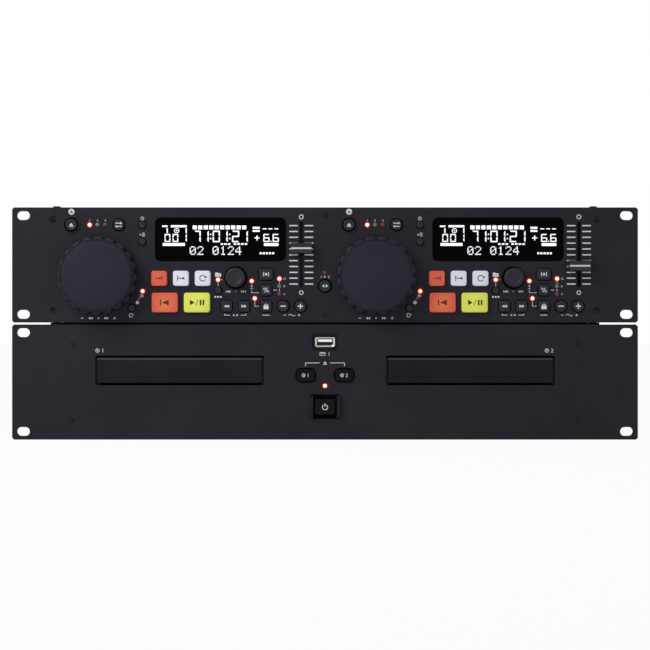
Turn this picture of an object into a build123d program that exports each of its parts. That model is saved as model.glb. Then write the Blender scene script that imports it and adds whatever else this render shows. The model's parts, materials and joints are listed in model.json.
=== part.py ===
"""Dual disc player for a disc jockey: a rack control unit standing on a rack player unit.

Millimetres. +X is to the user's right, the panels face -Y and +Z is up.
The origin is at the middle of the footprint, on the surface that the player unit stands on.
"""

from build123d import *

import math
import os
from collections import namedtuple

os.makedirs("parts", exist_ok=True)

# Rack panels
panel_width = 482.6
panel_height = 88.8
panel_thickness = 3.0
panel_corner = 1.5
panel_edge = 0.4
rack_slot_width = 10.0
rack_slot_height = 6.8
rack_slot_pitch_x = 465.1
rack_slot_pitch_z = 76.2

# Sheet metal cases behind the panels
case_width = 424.0
player_depth = 250.0
control_depth = 78.0
sheet = 1.2
case_flange = 10.0
front_flange = 4.6
front_side_flange = 7.0

# Screws
cover_head_d = 6.0
cover_head_height = 1.5
cover_screw_inset = 3.4
cover_screw_length = 5.0
cover_screw_first = 12.0
cover_screw_spacing = 54.0
thread_d = 3.0
thread_clearance = 0.05
panel_screw_d = 5.2
panel_screw_length = 9.0
panel_screw_inset = 2.4
panel_screw_from_edge = 9.4
countersink_angle = 45
screw_block_height = 9.0
small_screw_d = 2.0
small_screw_length = 5.0
small_head_d = 3.2
small_head_height = 0.7
player_screw_inset = 17.2
player_screw_from_edge = 15.0
control_screw_from_edge = 5.9
screw_tab_width = 16.0
screw_tab_height = 9.6

# Flats that stand for a round outline, so that the mesh stays light
small_sides = 6
round_sides = 12
knob_sides = 20
large_sides = 40
corner_per_flat = 2.0

# Fits
running_clearance = 0.05
sliding_clearance = 0.2
seat_clearance = 0.1

# Keys: cap through the panel, flange behind it, stem towards its switch
flange_lip = 0.7
flange_thickness = 1.0
stem_width = 3.0
key_proud = 1.6
pad_proud = 2.6
key_edge = 0.4
pad_edge = 0.6
key_travel = 0.6
pad_travel = 1.0
switch_width = 6.0
switch_height = 3.6
stop_clearance = 0.1

# Boards
board_depth = 14.0
board_thickness = 1.6
led_d = 3.0
led_hole_clearance = 0.1
led_proud = 0.5
spacer_d = 4.0

# Control unit: two identical decks
deck_pitch = 214.0

wheel_x = -67.6
wheel_z = -8.6
wheel_lobes = 20
wheel_lobe_r = 30.0
wheel_body_r = 27.9
wheel_lobe_half_angles = (6.3, 4.2)
wheel_skirt_height = 10.5
wheel_skirt_edge = 0.6
wheel_proud = 16.0
wheel_gap = 0.8
wheel_rim_edge = 0.6
wheel_wall = 2.4
wheel_top = 3.0
wheel_hub_d = 14.0
wheel_shaft_d = 6.0
wheel_phase = {1: 15.8, 2: 10.0}

window_x = 26.35
window_z = 19.7
window_width = 101.0
window_height = 33.6
window_corner = 4.2
window_thickness = 1.9
window_proud = 0.3
window_ledge = 2.2
display_width = 96.0
display_height = 28.5

top_row_z = 30.9
loop_row_z = -10.35
transport_row_z = -29.0
bottom_row_z = -31.8

eject_x = -88.45
eject_cap = 9.0
eject_hole = 10.6
eject_ring = 13.9
eject_ring_proud = 0.8
source_x = -51.9
source_cap = 8.6
source_hole = 10.2
small_key_cap = 5.4
small_key_hole = 6.4
time_x = -33.9
play_mode_z = 18.0
jog_mode_x = -42.0
jog_mode_z = -33.2
folder_x = 24.6
folder_z = -19.7

loop_in_x = -20.8
loop_pitch = 16.8
loop_width = 12.1
loop_height = 11.7
loop_corner = 2.0
cue_x = -16.45
play_x = 8.35
transport_width = 20.1
transport_height = 15.2
transport_corner = 2.3
pad_clearance = 0.35

square_key = 8.7
square_key_corner = 1.2
square_key_clearance = 0.6
search_x = 31.2
search_pitch = 13.45
percent_x = 61.6
percent_z = -19.4
tap_z = -7.2
tap_width = 11.3
tap_height = 8.7
bend_x = 74.8
bend_pitch = 13.3
bend_cap = 8.8
bend_hole = 10.2

knob_x = 38.2
knob_z = -9.9
knob_d = 15.0
knob_hole_d = 17.6
knob_proud = 9.0
knob_edge = 1.0
knob_dish_d = 9.6
knob_dish_depth = 0.8
knob_dish_angle = 45
knob_skirt_depth = 2.0
knob_shaft_d = 6.0

fader_x = 88.7
fader_z = 8.1
fader_slot_width = 2.3
fader_slot_length = 50.1
fader_stem_clearance = 1.0
fader_rest = {1: 4.5, 2: -9.0}
fader_cap_width = 16.2
fader_cap_height = 9.0
fader_cap_proud = 8.5
fader_cap_gap = 0.5
fader_cap_waist = 1.6
fader_stem_width = 1.4
fader_stem_height = 4.0
fader_body_width = 9.0
fader_body_length = 62.0
fader_body_height = 8.0
fader_stem_depth = 9.0

control_board_width = 400.0
control_board_height = 80.0
encoder_d = 12.0
encoder_height = 8.0

relay_x = 0.0
relay_led_z = -6.0
relay_z = -16.2
relay_cap = 9.0
relay_hole = 10.8

# Player unit
tray_x = 112.1
tray_z = 9.0
tray_opening_width = 129.8
tray_opening_height = 22.9
tray_opening_corner = 0.8
door_width = 126.8
door_height = 19.5
door_thickness = 3.0
door_bevel = 1.6
door_edge = 0.4
tray_width = 125.6
tray_length = 165.0
tray_thickness = 7.0
tray_top_above_door_centre = 3.0
tray_corner = 6.0
disc_well_d = 120.8
disc_well_depth = 1.6
small_well_d = 81.0
small_well_depth = 1.0
disc_centre_depth = 72.0
spindle_hole_d = 36.0
pickup_slot_width = 24.0
pickup_slot_length = 48.0
pickup_slot_corner = 3.0
thumb_slot_length = 33.0
thumb_slot_width = 11.0
runner_width = 3.0
runner_height = 2.0
runner_length = 141.0

loader_wall = 3.0
loader_front = 5.0
loader_length = 195.0
loader_ledge = 5.0
loader_floor_drop = 22.0
bridge_width = 30.0
bridge_thickness = 2.0
bridge_rise = 4.5
clamp_d = 30.0
clamp_neck_d = 22.0
clamp_head_d = 27.0
clamp_gap = 0.5
clamp_thickness = 2.4
clamp_head_thickness = 1.2
turntable_d = 30.0
turntable_thickness = 3.0
turntable_drop = 0.7
motor_d = 24.0
motor_opening_corner = 6.0
cone_d = 14.0
cone_height = 3.5
cone_angle = 30
sled_length = 30.0
sled_height = 9.0
sled_distance = 38.0
lens_d = 6.0
lens_height = 0.8
rod_d = 3.0
rod_length = 49.0
rod_spacing = 30.0
gearbox_width = 34.0
gearbox_length = 40.0
gearbox_height = 14.0
gearbox_pulley_d = 13.4
gearbox_pulley_height = 3.0
gearbox_pulley_offset = 10.0

open_x = 14.8
open_z = 5.3
open_width = 14.3
open_height = 9.5
open_corner = 3.0
open_clearance = 0.9
open_proud = 2.0
player_led_z = -2.9
power_z = -18.9
power_width = 15.8
power_height = 12.1
power_corner = 1.0
power_clearance = 0.4
power_proud = 3.2
power_travel = 2.5
power_bezel_width = 23.0
power_bezel_height = 18.5
power_bezel_proud = 0.8
power_rail_width = 2.3
power_rail_proud = 3.0
power_switch_height = 5.0
usb_z = 30.8
usb_recess_width = 20.4
usb_recess_height = 13.1
usb_recess_corner = 2.3
usb_recess_depth = 0.5
usb_mouth_width = 15.2
usb_mouth_height = 7.3
usb_flare = 1.0
usb_shell_width = 13.1
usb_shell_height = 5.7
usb_shell = 0.4
usb_tongue_width = 10.8
usb_tongue_thickness = 1.8
usb_tongue_length = 11.0

front_board_width = 48.0
front_board_bottom = -29.0
front_board_top = 36.0
centre_window_width = 54.0
centre_window_height = 76.0
main_board_width = 78.0
main_board_front = 40.0
main_board_length = 160.0
main_board_rise = 6.0
chip_width = 18.0
chip_height = 2.4
chip_pitch_x = 25.2
chip_pitch_y = 32.4
fin_count = 8
fin_pitch = 5.0
fin_thickness = 1.0
fin_length = 24.0
fin_height = 18.0
transformer_x = -150.0
transformer_width = 42.0
transformer_length = 34.0
transformer_height = 40.0
transformer_core_length = 17.0
transformer_coil_width = 27.0
transformer_coil_height = 24.0
transformer_coil_rise = 8.0

inlet_x = -170.0
inlet_width = 30.0
inlet_height = 22.0
inlet_mouth_width = 24.4
inlet_mouth_height = 16.9
inlet_mouth_depth = 14.0
inlet_mouth_bevel = 4.5
inlet_pin_width = 2.0
inlet_pin_height = 4.0
inlet_pin_length = 9.0
inlet_pin_spacing = 7.0
inlet_body_depth = 18.0
inlet_flange = 1.5
rear_socket_rise = 36.0
jack_d = 8.3
jack_base_d = 12.0
jack_hole_d = 9.0
jack_bore_d = 3.4
jack_proud = 9.0
jack_spacing = 16.0
jack_sides = 8
jack_first_x = 60.0
jack_count = 6
din_x = -60.0
din_spacing = 26.0
din_d = 15.0
din_depth = 12.0
din_recess = 4.5
din_post_d = 9.0
vent_slot_width = 2.4
vent_slot_length = 30.0
vent_slot_pitch = 8.0
vent_slots = 7

# Places worked out from the sizes above
panel_front = wheel_proud - (wheel_proud + player_depth + jack_proud) / 2
player_mid = panel_height / 2
control_mid = panel_height + cover_head_height + panel_height / 2
deck_x = {1: -deck_pitch / 2, 2: deck_pitch / 2}
tray_centre_x = {1: -tray_x, 2: tray_x}
tray_top = tray_z + tray_top_above_door_centre
tray_bottom = tray_top - tray_thickness
cover_screw_x = case_width / 2 - cover_screw_inset
panel_screw_x = case_width / 2 - panel_screw_inset
panel_screw_z = panel_height / 2 - panel_screw_from_edge
player_screw_x = case_width / 2 - player_screw_inset
player_screw_z = panel_height / 2 - player_screw_from_edge
control_screw_z = panel_height / 2 - control_screw_from_edge
player_cover_screws = [
    cover_screw_first,
    cover_screw_first + cover_screw_spacing,
    player_depth - cover_screw_first,
]
control_cover_screws = [cover_screw_first, cover_screw_first + cover_screw_spacing]
screw_hole_d = thread_d + 2 * thread_clearance
small_screw_hole_d = small_screw_d + 2 * thread_clearance
led_hole_d = led_d + 2 * led_hole_clearance
jack_places = [(jack_first_x + index * jack_spacing, 0) for index in range(jack_count)]
din_places = [(din_x, 0), (din_x + din_spacing, 0)]
stem_end = board_depth - switch_height

Key = namedtuple("Key", "name x z width height corner clearance proud edge travel")


def round_key(name, x, z, cap, hole):
    """A round key: its cap and hole are given by their diameters."""
    return Key(name, x, z, cap, cap, None, (hole - cap) / 2, key_proud, key_edge, key_travel)


def square_cap_key(name, x, z, width, height):
    """One of the small dark keys with a rounded rectangular cap."""
    corner = square_key_corner
    return Key(name, x, z, width, height, corner, square_key_clearance, key_proud, key_edge, key_travel)


def pad_key(name, x, z, width, height, corner):
    """One of the large translucent keys."""
    return Key(name, x, z, width, height, corner, pad_clearance, pad_proud, pad_edge, pad_travel)


deck_keys = [
    round_key("eject_button", eject_x, top_row_z, eject_cap, eject_hole),
    round_key("source_button", source_x, top_row_z, source_cap, source_hole),
    round_key("time_button", time_x, top_row_z, small_key_cap, small_key_hole),
    round_key("play_mode_button", time_x, play_mode_z, small_key_cap, small_key_hole),
    round_key("jog_mode_button", jog_mode_x, jog_mode_z, small_key_cap, small_key_hole),
    round_key("folder_button", folder_x, folder_z, small_key_cap, small_key_hole),
    round_key("bend_minus_button", bend_x, bottom_row_z, bend_cap, bend_hole),
    round_key("bend_plus_button", bend_x + bend_pitch, bottom_row_z, bend_cap, bend_hole),
    pad_key("loop_in_button", loop_in_x, loop_row_z, loop_width, loop_height, loop_corner),
    pad_key("loop_out_button", loop_in_x + loop_pitch, loop_row_z, loop_width, loop_height, loop_corner),
    pad_key("reloop_button", loop_in_x + 2 * loop_pitch, loop_row_z, loop_width, loop_height, loop_corner),
    pad_key("cue_button", cue_x, transport_row_z, transport_width, transport_height, transport_corner),
    pad_key("play_button", play_x, transport_row_z, transport_width, transport_height, transport_corner),
    square_cap_key("tap_button", percent_x, tap_z, tap_width, tap_height),
    square_cap_key("pitch_range_button", percent_x, percent_z, square_key, square_key),
    square_cap_key("key_lock_button", percent_x, bottom_row_z, square_key, square_key),
    square_cap_key("search_back_button", search_x, bottom_row_z, square_key, square_key),
    square_cap_key("search_forward_button", search_x + search_pitch, bottom_row_z, square_key, square_key),
]
relay_key = round_key("relay_button", relay_x, relay_z, relay_cap, relay_hole)
open_key = Key(
    "open_button", open_x, open_z, open_width, open_height, open_corner,
    open_clearance, open_proud, key_edge, key_travel,
)
power_key = Key(
    "power_button", 0.0, power_z, power_width, power_height, power_corner,
    power_clearance, power_proud, pad_edge, power_travel,
)

deck_leds = [
    (-74.4, top_row_z),
    (-68.4, top_row_z),
    (-62.4, top_row_z),
    (-33.6, -20.2),
    (-36.3, -25.7),
    (folder_x, -11.4),
    (50.5, -12.4),
    (52.9, -25.8),
    (71.9, -10.6),
    (71.9, -16.4),
    (71.9, -22.5),
]
deck_spacers = [(-85.0, -25.0), (-50.0, 8.0), (20.0, 0.6), (77.0, -3.5)]


def panel_plane(middle_z, depth, x=0.0):
    """A plane parallel to the panels, looking at the user, with its origin at (x, middle_z)."""
    return Plane(origin=(x, panel_front + depth, middle_z), x_dir=(1, 0, 0), z_dir=(0, -1, 0))


def player_plane(depth, x=0.0):
    return panel_plane(player_mid, depth, x)


def control_plane(depth):
    return panel_plane(control_mid, depth)


def deck_plane(deck, depth):
    return panel_plane(control_mid, depth, deck_x[deck])


def level_plane(z, x=0.0, depth=0.0):
    """A level plane at height z, with its origin at x and at a depth behind the panels' front."""
    return Plane(origin=(x, panel_front + depth, z), x_dir=(1, 0, 0), z_dir=(0, 0, 1))


def save(part, name):
    part.label = name
    export_step(part, f"parts/{name}.step")


def gather(pieces, name):
    """Keeps the pieces of one node as separate solids."""
    save(Compound(children=pieces), name)


def round_solid(diameter, sides=small_sides, mode=Mode.ADD):
    """Draws a round outline made of flats, whose corners lie on the diameter."""
    RegularPolygon(diameter / 2, sides, mode=mode)


def round_hole(diameter, sides=small_sides, mode=Mode.ADD):
    """Draws a round hole's outline made of flats, which touch the diameter."""
    RegularPolygon(diameter / 2, sides, major_radius=False, mode=mode)


def soft_rectangle(width, height, corner, mode=Mode.ADD):
    """Draws a rectangle whose rounded corners are made of flats, more of them on a larger corner."""
    flats = 1 + int(corner / corner_per_flat)
    points = []
    for quarter, (side_x, side_z) in enumerate([(1, 1), (-1, 1), (-1, -1), (1, -1)]):
        for flat in range(flats + 1):
            angle = math.pi / 2 * (quarter + flat / flats)
            x = side_x * (width / 2 - corner) + corner * math.cos(angle)
            z = side_z * (height / 2 - corner) + corner * math.sin(angle)
            points.append((x, z))
    Polygon(*points, mode=mode)


def draw_cap(key):
    """Draws a key's cap in the current sketch."""
    if key.corner is None:
        round_solid(key.width, round_sides)
    else:
        soft_rectangle(key.width, key.height, key.corner)


def draw_key_hole(key):
    """Draws the hole that a key moves in."""
    gap = 2 * key.clearance
    with Locations((key.x, key.z)):
        if key.corner is None:
            round_hole(key.width + gap, round_sides)
        else:
            soft_rectangle(key.width + gap, key.height + gap, key.corner + key.clearance)


def key_piece(key, middle_z, origin_x, stem_stop):
    """A key's cap, the flange that holds it behind the panel and the stem to its switch."""
    at = (key.x, key.z)
    flange_back = panel_thickness + flange_thickness
    with BuildPart() as piece:
        with BuildSketch(panel_plane(middle_z, panel_thickness, origin_x)):
            with Locations(at):
                draw_cap(key)
        extrude(amount=panel_thickness + key.proud)
        chamfer(piece.faces().sort_by(Axis.Y)[0].edges(), key.edge)
        with BuildSketch(panel_plane(middle_z, flange_back, origin_x)):
            with Locations(at):
                reach = 2 * (key.clearance + flange_lip)
                Rectangle(key.width + reach, key.height + reach)
        extrude(amount=flange_thickness)
        with BuildSketch(panel_plane(middle_z, flange_back, origin_x)):
            with Locations(at):
                Rectangle(stem_width, stem_width)
        extrude(amount=-(stem_stop - key.travel - stop_clearance - flange_back))
    return piece.part


# ---------------------------------------------------------------- panels


def rack_panel(middle_z):
    """The blank rack panel with its four mounting slots, drawn in the current part."""
    with BuildSketch(panel_plane(middle_z, panel_thickness)) as blank:
        soft_rectangle(panel_width, panel_height, panel_corner)
        with GridLocations(rack_slot_pitch_x, rack_slot_pitch_z, 2, 2):
            SlotOverall(rack_slot_width, rack_slot_height, mode=Mode.SUBTRACT)
    extrude(blank.sketch, amount=panel_thickness)


with BuildPart() as player_faceplate:
    rack_panel(player_mid)
    chamfer(player_faceplate.faces().sort_by(Axis.Y)[0].outer_wire().edges(), panel_edge)
    with BuildSketch(player_plane(0)):
        with Locations((0, power_z)):
            soft_rectangle(power_bezel_width, power_bezel_height, power_corner)
    extrude(amount=power_bezel_proud)
    with BuildSketch(player_plane(0)):
        with Locations((0, power_z)):
            with GridLocations(power_bezel_width - power_rail_width, 0, 2, 1):
                Rectangle(power_rail_width, power_bezel_height - 2 * power_corner)
    extrude(amount=power_rail_proud)
    with BuildSketch(player_plane(0)):
        with Locations((0, usb_z)):
            soft_rectangle(usb_recess_width, usb_recess_height, usb_recess_corner)
    extrude(amount=-usb_recess_depth, mode=Mode.SUBTRACT)
    with BuildSketch(player_plane(panel_thickness)):
        with Locations((-tray_x, tray_z), (tray_x, tray_z)):
            soft_rectangle(tray_opening_width, tray_opening_height, tray_opening_corner)
        with Locations((0, usb_z)):
            mouth = 2 * sliding_clearance
            Rectangle(usb_mouth_width + mouth, usb_mouth_height + mouth)
        with Locations((0, player_led_z)):
            round_hole(led_hole_d)
        for side in (-1, 1):
            draw_key_hole(open_key._replace(x=side * open_x))
        draw_key_hole(power_key)
        with GridLocations(2 * player_screw_x, 2 * player_screw_z, 2, 2):
            round_hole(small_screw_hole_d)
    extrude(amount=panel_thickness + power_rail_proud, mode=Mode.SUBTRACT)
save(player_faceplate.part, "player_faceplate")


with BuildPart() as control_faceplate:
    rack_panel(control_mid)
    chamfer(control_faceplate.faces().sort_by(Axis.Y)[0].outer_wire().edges(), panel_edge)
    for deck in deck_x:
        with BuildSketch(deck_plane(deck, 0)):
            with Locations((eject_x, top_row_z)):
                round_solid(eject_ring, round_sides)
        extrude(amount=eject_ring_proud)
        with BuildSketch(deck_plane(deck, 0)):
            with Locations((window_x, window_z)):
                seat = 2 * seat_clearance
                soft_rectangle(window_width + seat, window_height + seat, window_corner + seat_clearance)
        extrude(amount=window_proud - window_thickness, mode=Mode.SUBTRACT)
        with BuildSketch(deck_plane(deck, panel_thickness)):
            with Locations((window_x, window_z)):
                ledge = 2 * window_ledge
                Rectangle(window_width - ledge, window_height - ledge)
            with Locations((wheel_x, wheel_z)):
                round_hole(wheel_shaft_d + 2 * running_clearance, round_sides)
            with Locations((knob_x, knob_z)):
                round_hole(knob_hole_d, knob_sides)
            with Locations((fader_x, fader_z)):
                Rectangle(fader_slot_width, fader_slot_length)
            with Locations(deck_leds):
                round_hole(led_hole_d)
            for key in deck_keys:
                draw_key_hole(key)
        extrude(amount=panel_thickness + eject_ring_proud, mode=Mode.SUBTRACT)
    chamfer(control_faceplate.faces().group_by(Axis.Y)[0].edges(), panel_edge)
    with BuildSketch(control_plane(panel_thickness)):
        draw_key_hole(relay_key)
        with Locations((relay_x, relay_led_z)):
            round_hole(led_hole_d)
        with GridLocations(0, 2 * control_screw_z, 1, 2):
            round_hole(small_screw_hole_d)
        with GridLocations(2 * panel_screw_x, 2 * panel_screw_z, 2, 2):
            round_hole(screw_hole_d)
    extrude(amount=panel_thickness, mode=Mode.SUBTRACT)
    countersink_reach = (panel_screw_d - thread_d) / 2
    with BuildSketch(control_plane(0)):
        with GridLocations(2 * panel_screw_x, 2 * panel_screw_z, 2, 2):
            round_hole(panel_screw_d + 2 * thread_clearance)
    extrude(amount=-countersink_reach, taper=countersink_angle, mode=Mode.SUBTRACT)
save(control_faceplate.part, "control_faceplate")


# ---------------------------------------------------------------- sheet metal cases


def case_tray(middle_z, depth):
    """An open pan: floor, sides and rear wall, with a flange folded in round its top."""
    height = panel_height - sheet
    length = depth - panel_thickness
    middle_y = panel_front + panel_thickness + length / 2
    floor = middle_z - panel_height / 2
    with BuildSketch(Plane.XY.offset(floor)) as outside:
        with Locations((0, middle_y)):
            Rectangle(case_width, length)
    extrude(outside.sketch, amount=height)
    with BuildSketch(Plane.XY.offset(floor + sheet)) as inside:
        with Locations((0, middle_y)):
            Rectangle(case_width - 2 * sheet, length - 2 * sheet)
    extrude(inside.sketch, amount=height - 2 * sheet, mode=Mode.SUBTRACT)
    with BuildSketch(Plane.XY.offset(floor + height - sheet)) as mouth:
        with Locations((0, middle_y)):
            Rectangle(case_width - 2 * case_flange, length - 2 * front_flange)
    extrude(mouth.sketch, amount=sheet, mode=Mode.SUBTRACT)


def drill_cover_screws(middle_z, depths, reach):
    """Screw holes along both top edges of a case, down from its cover."""
    top = middle_z + panel_height / 2
    with BuildSketch(Plane.XY.offset(top)) as holes:
        for depth in depths:
            with Locations((-cover_screw_x, panel_front + depth), (cover_screw_x, panel_front + depth)):
                round_hole(screw_hole_d)
    extrude(holes.sketch, amount=-reach, mode=Mode.SUBTRACT)


with BuildPart() as player_base:
    case_tray(player_mid, player_depth)
    drill_cover_screws(player_mid, player_cover_screws, 2 * sheet)
    with BuildSketch(player_plane(panel_thickness)):
        with Locations((-tray_x, tray_z), (tray_x, tray_z)):
            Rectangle(tray_opening_width, tray_opening_height)
        Rectangle(centre_window_width, centre_window_height)
        with GridLocations(2 * player_screw_x, 2 * player_screw_z, 2, 2):
            round_hole(small_screw_hole_d)
    extrude(amount=-sheet, mode=Mode.SUBTRACT)
    with BuildSketch(panel_plane(rear_socket_rise, player_depth)):
        with Locations((inlet_x, 0)):
            seat = 2 * seat_clearance
            Rectangle(inlet_mouth_width + 2 * inlet_flange + seat, inlet_mouth_height + 2 * inlet_flange + seat)
        with Locations(jack_places):
            round_hole(jack_hole_d, jack_sides)
        with Locations(din_places):
            round_hole(din_d + 2 * seat_clearance, round_sides)
    extrude(amount=sheet, mode=Mode.SUBTRACT)
save(player_base.part, "player_base")

with BuildPart() as control_chassis:
    case_tray(control_mid, control_depth)
    for side_x in (-1, 1):
        for side_z in (-1, 1):
            block_width = case_width / 2 - sheet - panel_screw_x + thread_d + sheet
            with BuildSketch(control_plane(panel_thickness)):
                block_x = side_x * (case_width / 2 - sheet - block_width / 2)
                with Locations((block_x, side_z * panel_screw_z)):
                    Rectangle(block_width, screw_block_height)
            extrude(amount=-panel_screw_length)
    with BuildSketch(control_plane(panel_thickness)):
        clear_width = case_width - 2 * front_side_flange
        Rectangle(clear_width, panel_height - 2 * front_flange - 2 * sheet)
        with GridLocations(0, 2 * control_screw_z, 1, 2):
            Rectangle(screw_tab_width, screw_tab_height, mode=Mode.SUBTRACT)
            round_hole(small_screw_hole_d)
        with GridLocations(2 * panel_screw_x, 2 * panel_screw_z, 2, 2):
            round_hole(screw_hole_d)
    extrude(amount=-sheet, mode=Mode.SUBTRACT)
    with BuildSketch(control_plane(panel_thickness)):
        with GridLocations(2 * panel_screw_x, 2 * panel_screw_z, 2, 2):
            round_hole(screw_hole_d)
    extrude(amount=-panel_screw_length, mode=Mode.SUBTRACT)
    drill_cover_screws(control_mid, control_cover_screws, 2 * sheet)
    with BuildSketch(control_plane(control_depth)):
        with Locations(din_places):
            round_hole(din_d + 2 * seat_clearance, round_sides)
    extrude(amount=sheet, mode=Mode.SUBTRACT)
save(control_chassis.part, "control_chassis")


def case_cover(middle_z, depth, screw_depths):
    """A flat top cover with its screw holes."""
    length = depth - panel_thickness
    top = middle_z + panel_height / 2
    with BuildSketch(Plane.XY.offset(top - sheet)) as lid:
        with Locations((0, panel_front + panel_thickness + length / 2)):
            Rectangle(case_width, length)
    extrude(lid.sketch, amount=sheet)
    drill_cover_screws(middle_z, screw_depths, sheet)


with BuildPart() as player_cover:
    case_cover(player_mid, player_depth, player_cover_screws)
    with BuildSketch(level_plane(panel_height, 0, panel_thickness + sheet / 2)):
        Rectangle(case_width, sheet)
    extrude(amount=cover_head_height - stop_clearance)
    vent_y = panel_front + player_depth - 2 * case_flange - vent_slot_length / 2
    with BuildSketch(Plane.XY.offset(2 * player_mid - sheet)):
        with Locations((-tray_x, vent_y), (tray_x, vent_y)):
            with GridLocations(vent_slot_pitch, 0, vent_slots, 1):
                Rectangle(vent_slot_width, vent_slot_length)
    extrude(amount=sheet, mode=Mode.SUBTRACT)
save(player_cover.part, "player_cover")

with BuildPart() as control_cover:
    case_cover(control_mid, control_depth, control_cover_screws)
save(control_cover.part, "control_cover")


# ---------------------------------------------------------------- screws


def cover_screws(middle_z, depths):
    """Pan head screws along both top edges of a case."""
    top = middle_z + panel_height / 2
    places = [(side * cover_screw_x, panel_front + depth) for depth in depths for side in (-1, 1)]
    with BuildPart() as screws:
        with BuildSketch(Plane.XY.offset(top)):
            with Locations(places):
                round_solid(cover_head_d, round_sides)
        extrude(amount=cover_head_height)
        with BuildSketch(Plane.XY.offset(top)):
            with Locations(places):
                round_solid(thread_d)
        extrude(amount=cover_head_height - cover_screw_length)
    return screws.part


def small_panel_screws(middle_z, spacing_x, count_x, spacing_z):
    """Small black screws that hold a panel to its case."""
    with BuildPart() as screws:
        with BuildSketch(panel_plane(middle_z, 0)):
            with GridLocations(spacing_x, spacing_z, count_x, 2):
                round_solid(small_head_d)
        extrude(amount=small_head_height)
        with BuildSketch(panel_plane(middle_z, 0)):
            with GridLocations(spacing_x, spacing_z, count_x, 2):
                round_solid(small_screw_d)
        extrude(amount=-small_screw_length)
    return screws.part


with BuildPart() as countersunk_screws:
    with BuildSketch(control_plane(0)):
        with GridLocations(2 * panel_screw_x, 2 * panel_screw_z, 2, 2):
            round_solid(panel_screw_d)
    extrude(amount=-countersink_reach, taper=countersink_angle)
    with BuildSketch(control_plane(0)):
        with GridLocations(2 * panel_screw_x, 2 * panel_screw_z, 2, 2):
            round_solid(thread_d)
    extrude(amount=-panel_screw_length)

gather(
    [
        cover_screws(player_mid, player_cover_screws),
        small_panel_screws(player_mid, 2 * player_screw_x, 2, 2 * player_screw_z),
    ],
    "player_screws",
)
gather(
    [
        cover_screws(control_mid, control_cover_screws),
        small_panel_screws(control_mid, 0, 1, 2 * control_screw_z),
        countersunk_screws.part,
    ],
    "control_screws",
)


# ---------------------------------------------------------------- disc loaders and trays

loader_inner = tray_width / 2 + sliding_clearance
loader_middle = loader_front + loader_length / 2
tray_bottom_z = player_mid + tray_bottom
tray_top_z = player_mid + tray_top
loader_floor_z = tray_bottom_z - loader_floor_drop
bridge_z = tray_top_z + bridge_rise


def loader_frame(deck):
    """A loader's moulded frame: walls down to the case floor, ledges under the tray and a bridge."""
    x = tray_centre_x[deck]
    with BuildPart() as frame:
        with BuildSketch(level_plane(sheet, x, loader_middle)):
            with GridLocations(2 * loader_inner + loader_wall, 0, 2, 1):
                Rectangle(loader_wall, loader_length)
        extrude(amount=bridge_z + bridge_thickness - sheet)
        with BuildSketch(level_plane(loader_floor_z, x, loader_middle)):
            Rectangle(2 * loader_inner, loader_length)
            with Locations((0, disc_centre_depth - loader_middle + sled_distance / 2)):
                opening_length = sled_distance + sled_length
                soft_rectangle(motor_d, opening_length, motor_opening_corner, mode=Mode.SUBTRACT)
        extrude(amount=loader_wall)
        with BuildSketch(level_plane(tray_bottom_z - runner_height - sliding_clearance, x, loader_middle)):
            with GridLocations(2 * loader_inner - loader_ledge, 0, 2, 1):
                Rectangle(loader_ledge, loader_length)
        extrude(amount=-loader_wall)
        with BuildSketch(level_plane(bridge_z, x, disc_centre_depth)):
            Rectangle(2 * loader_inner, bridge_width)
            round_hole(clamp_neck_d + 2 * sliding_clearance, round_sides, mode=Mode.SUBTRACT)
        extrude(amount=bridge_thickness)
        chamfer(frame.edges().filter_by(Axis.Z).group_by(Axis.Y)[0], loader_wall / 4)
    return frame.part


def disc_clamp(deck):
    """The magnetic puck that hangs in the bridge and holds a disc down."""
    x = tray_centre_x[deck]
    with BuildPart() as clamp:
        with BuildSketch(level_plane(tray_top_z + clamp_gap, x, disc_centre_depth)):
            round_solid(clamp_d, round_sides)
        extrude(amount=clamp_thickness)
        with BuildSketch(level_plane(tray_top_z + clamp_gap, x, disc_centre_depth)):
            round_solid(clamp_neck_d, round_sides)
        extrude(amount=bridge_z + bridge_thickness - tray_top_z - clamp_gap)
        with BuildSketch(level_plane(bridge_z + bridge_thickness, x, disc_centre_depth)):
            round_solid(clamp_head_d, round_sides)
        extrude(amount=clamp_head_thickness)
    return clamp.part


def spindle(deck):
    """The spindle motor with its turntable and centring cone, lowered clear of the tray."""
    x = tray_centre_x[deck]
    floor = loader_floor_z
    disc_seat = tray_bottom_z - turntable_drop - cone_height
    with BuildPart() as motor:
        with BuildSketch(level_plane(floor, x, disc_centre_depth)):
            round_solid(motor_d - 2 * seat_clearance, round_sides)
        extrude(amount=disc_seat - turntable_thickness - floor - loader_wall / 2)
        with BuildSketch(level_plane(floor, x, disc_centre_depth)):
            round_solid(rod_d)
        extrude(amount=disc_seat - floor)
        with BuildSketch(level_plane(disc_seat - turntable_thickness, x, disc_centre_depth)):
            round_solid(turntable_d, round_sides)
        extrude(amount=turntable_thickness)
        with BuildSketch(level_plane(disc_seat, x, disc_centre_depth)):
            round_solid(cone_d, round_sides)
        extrude(amount=cone_height, taper=cone_angle)
    return motor.part


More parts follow.
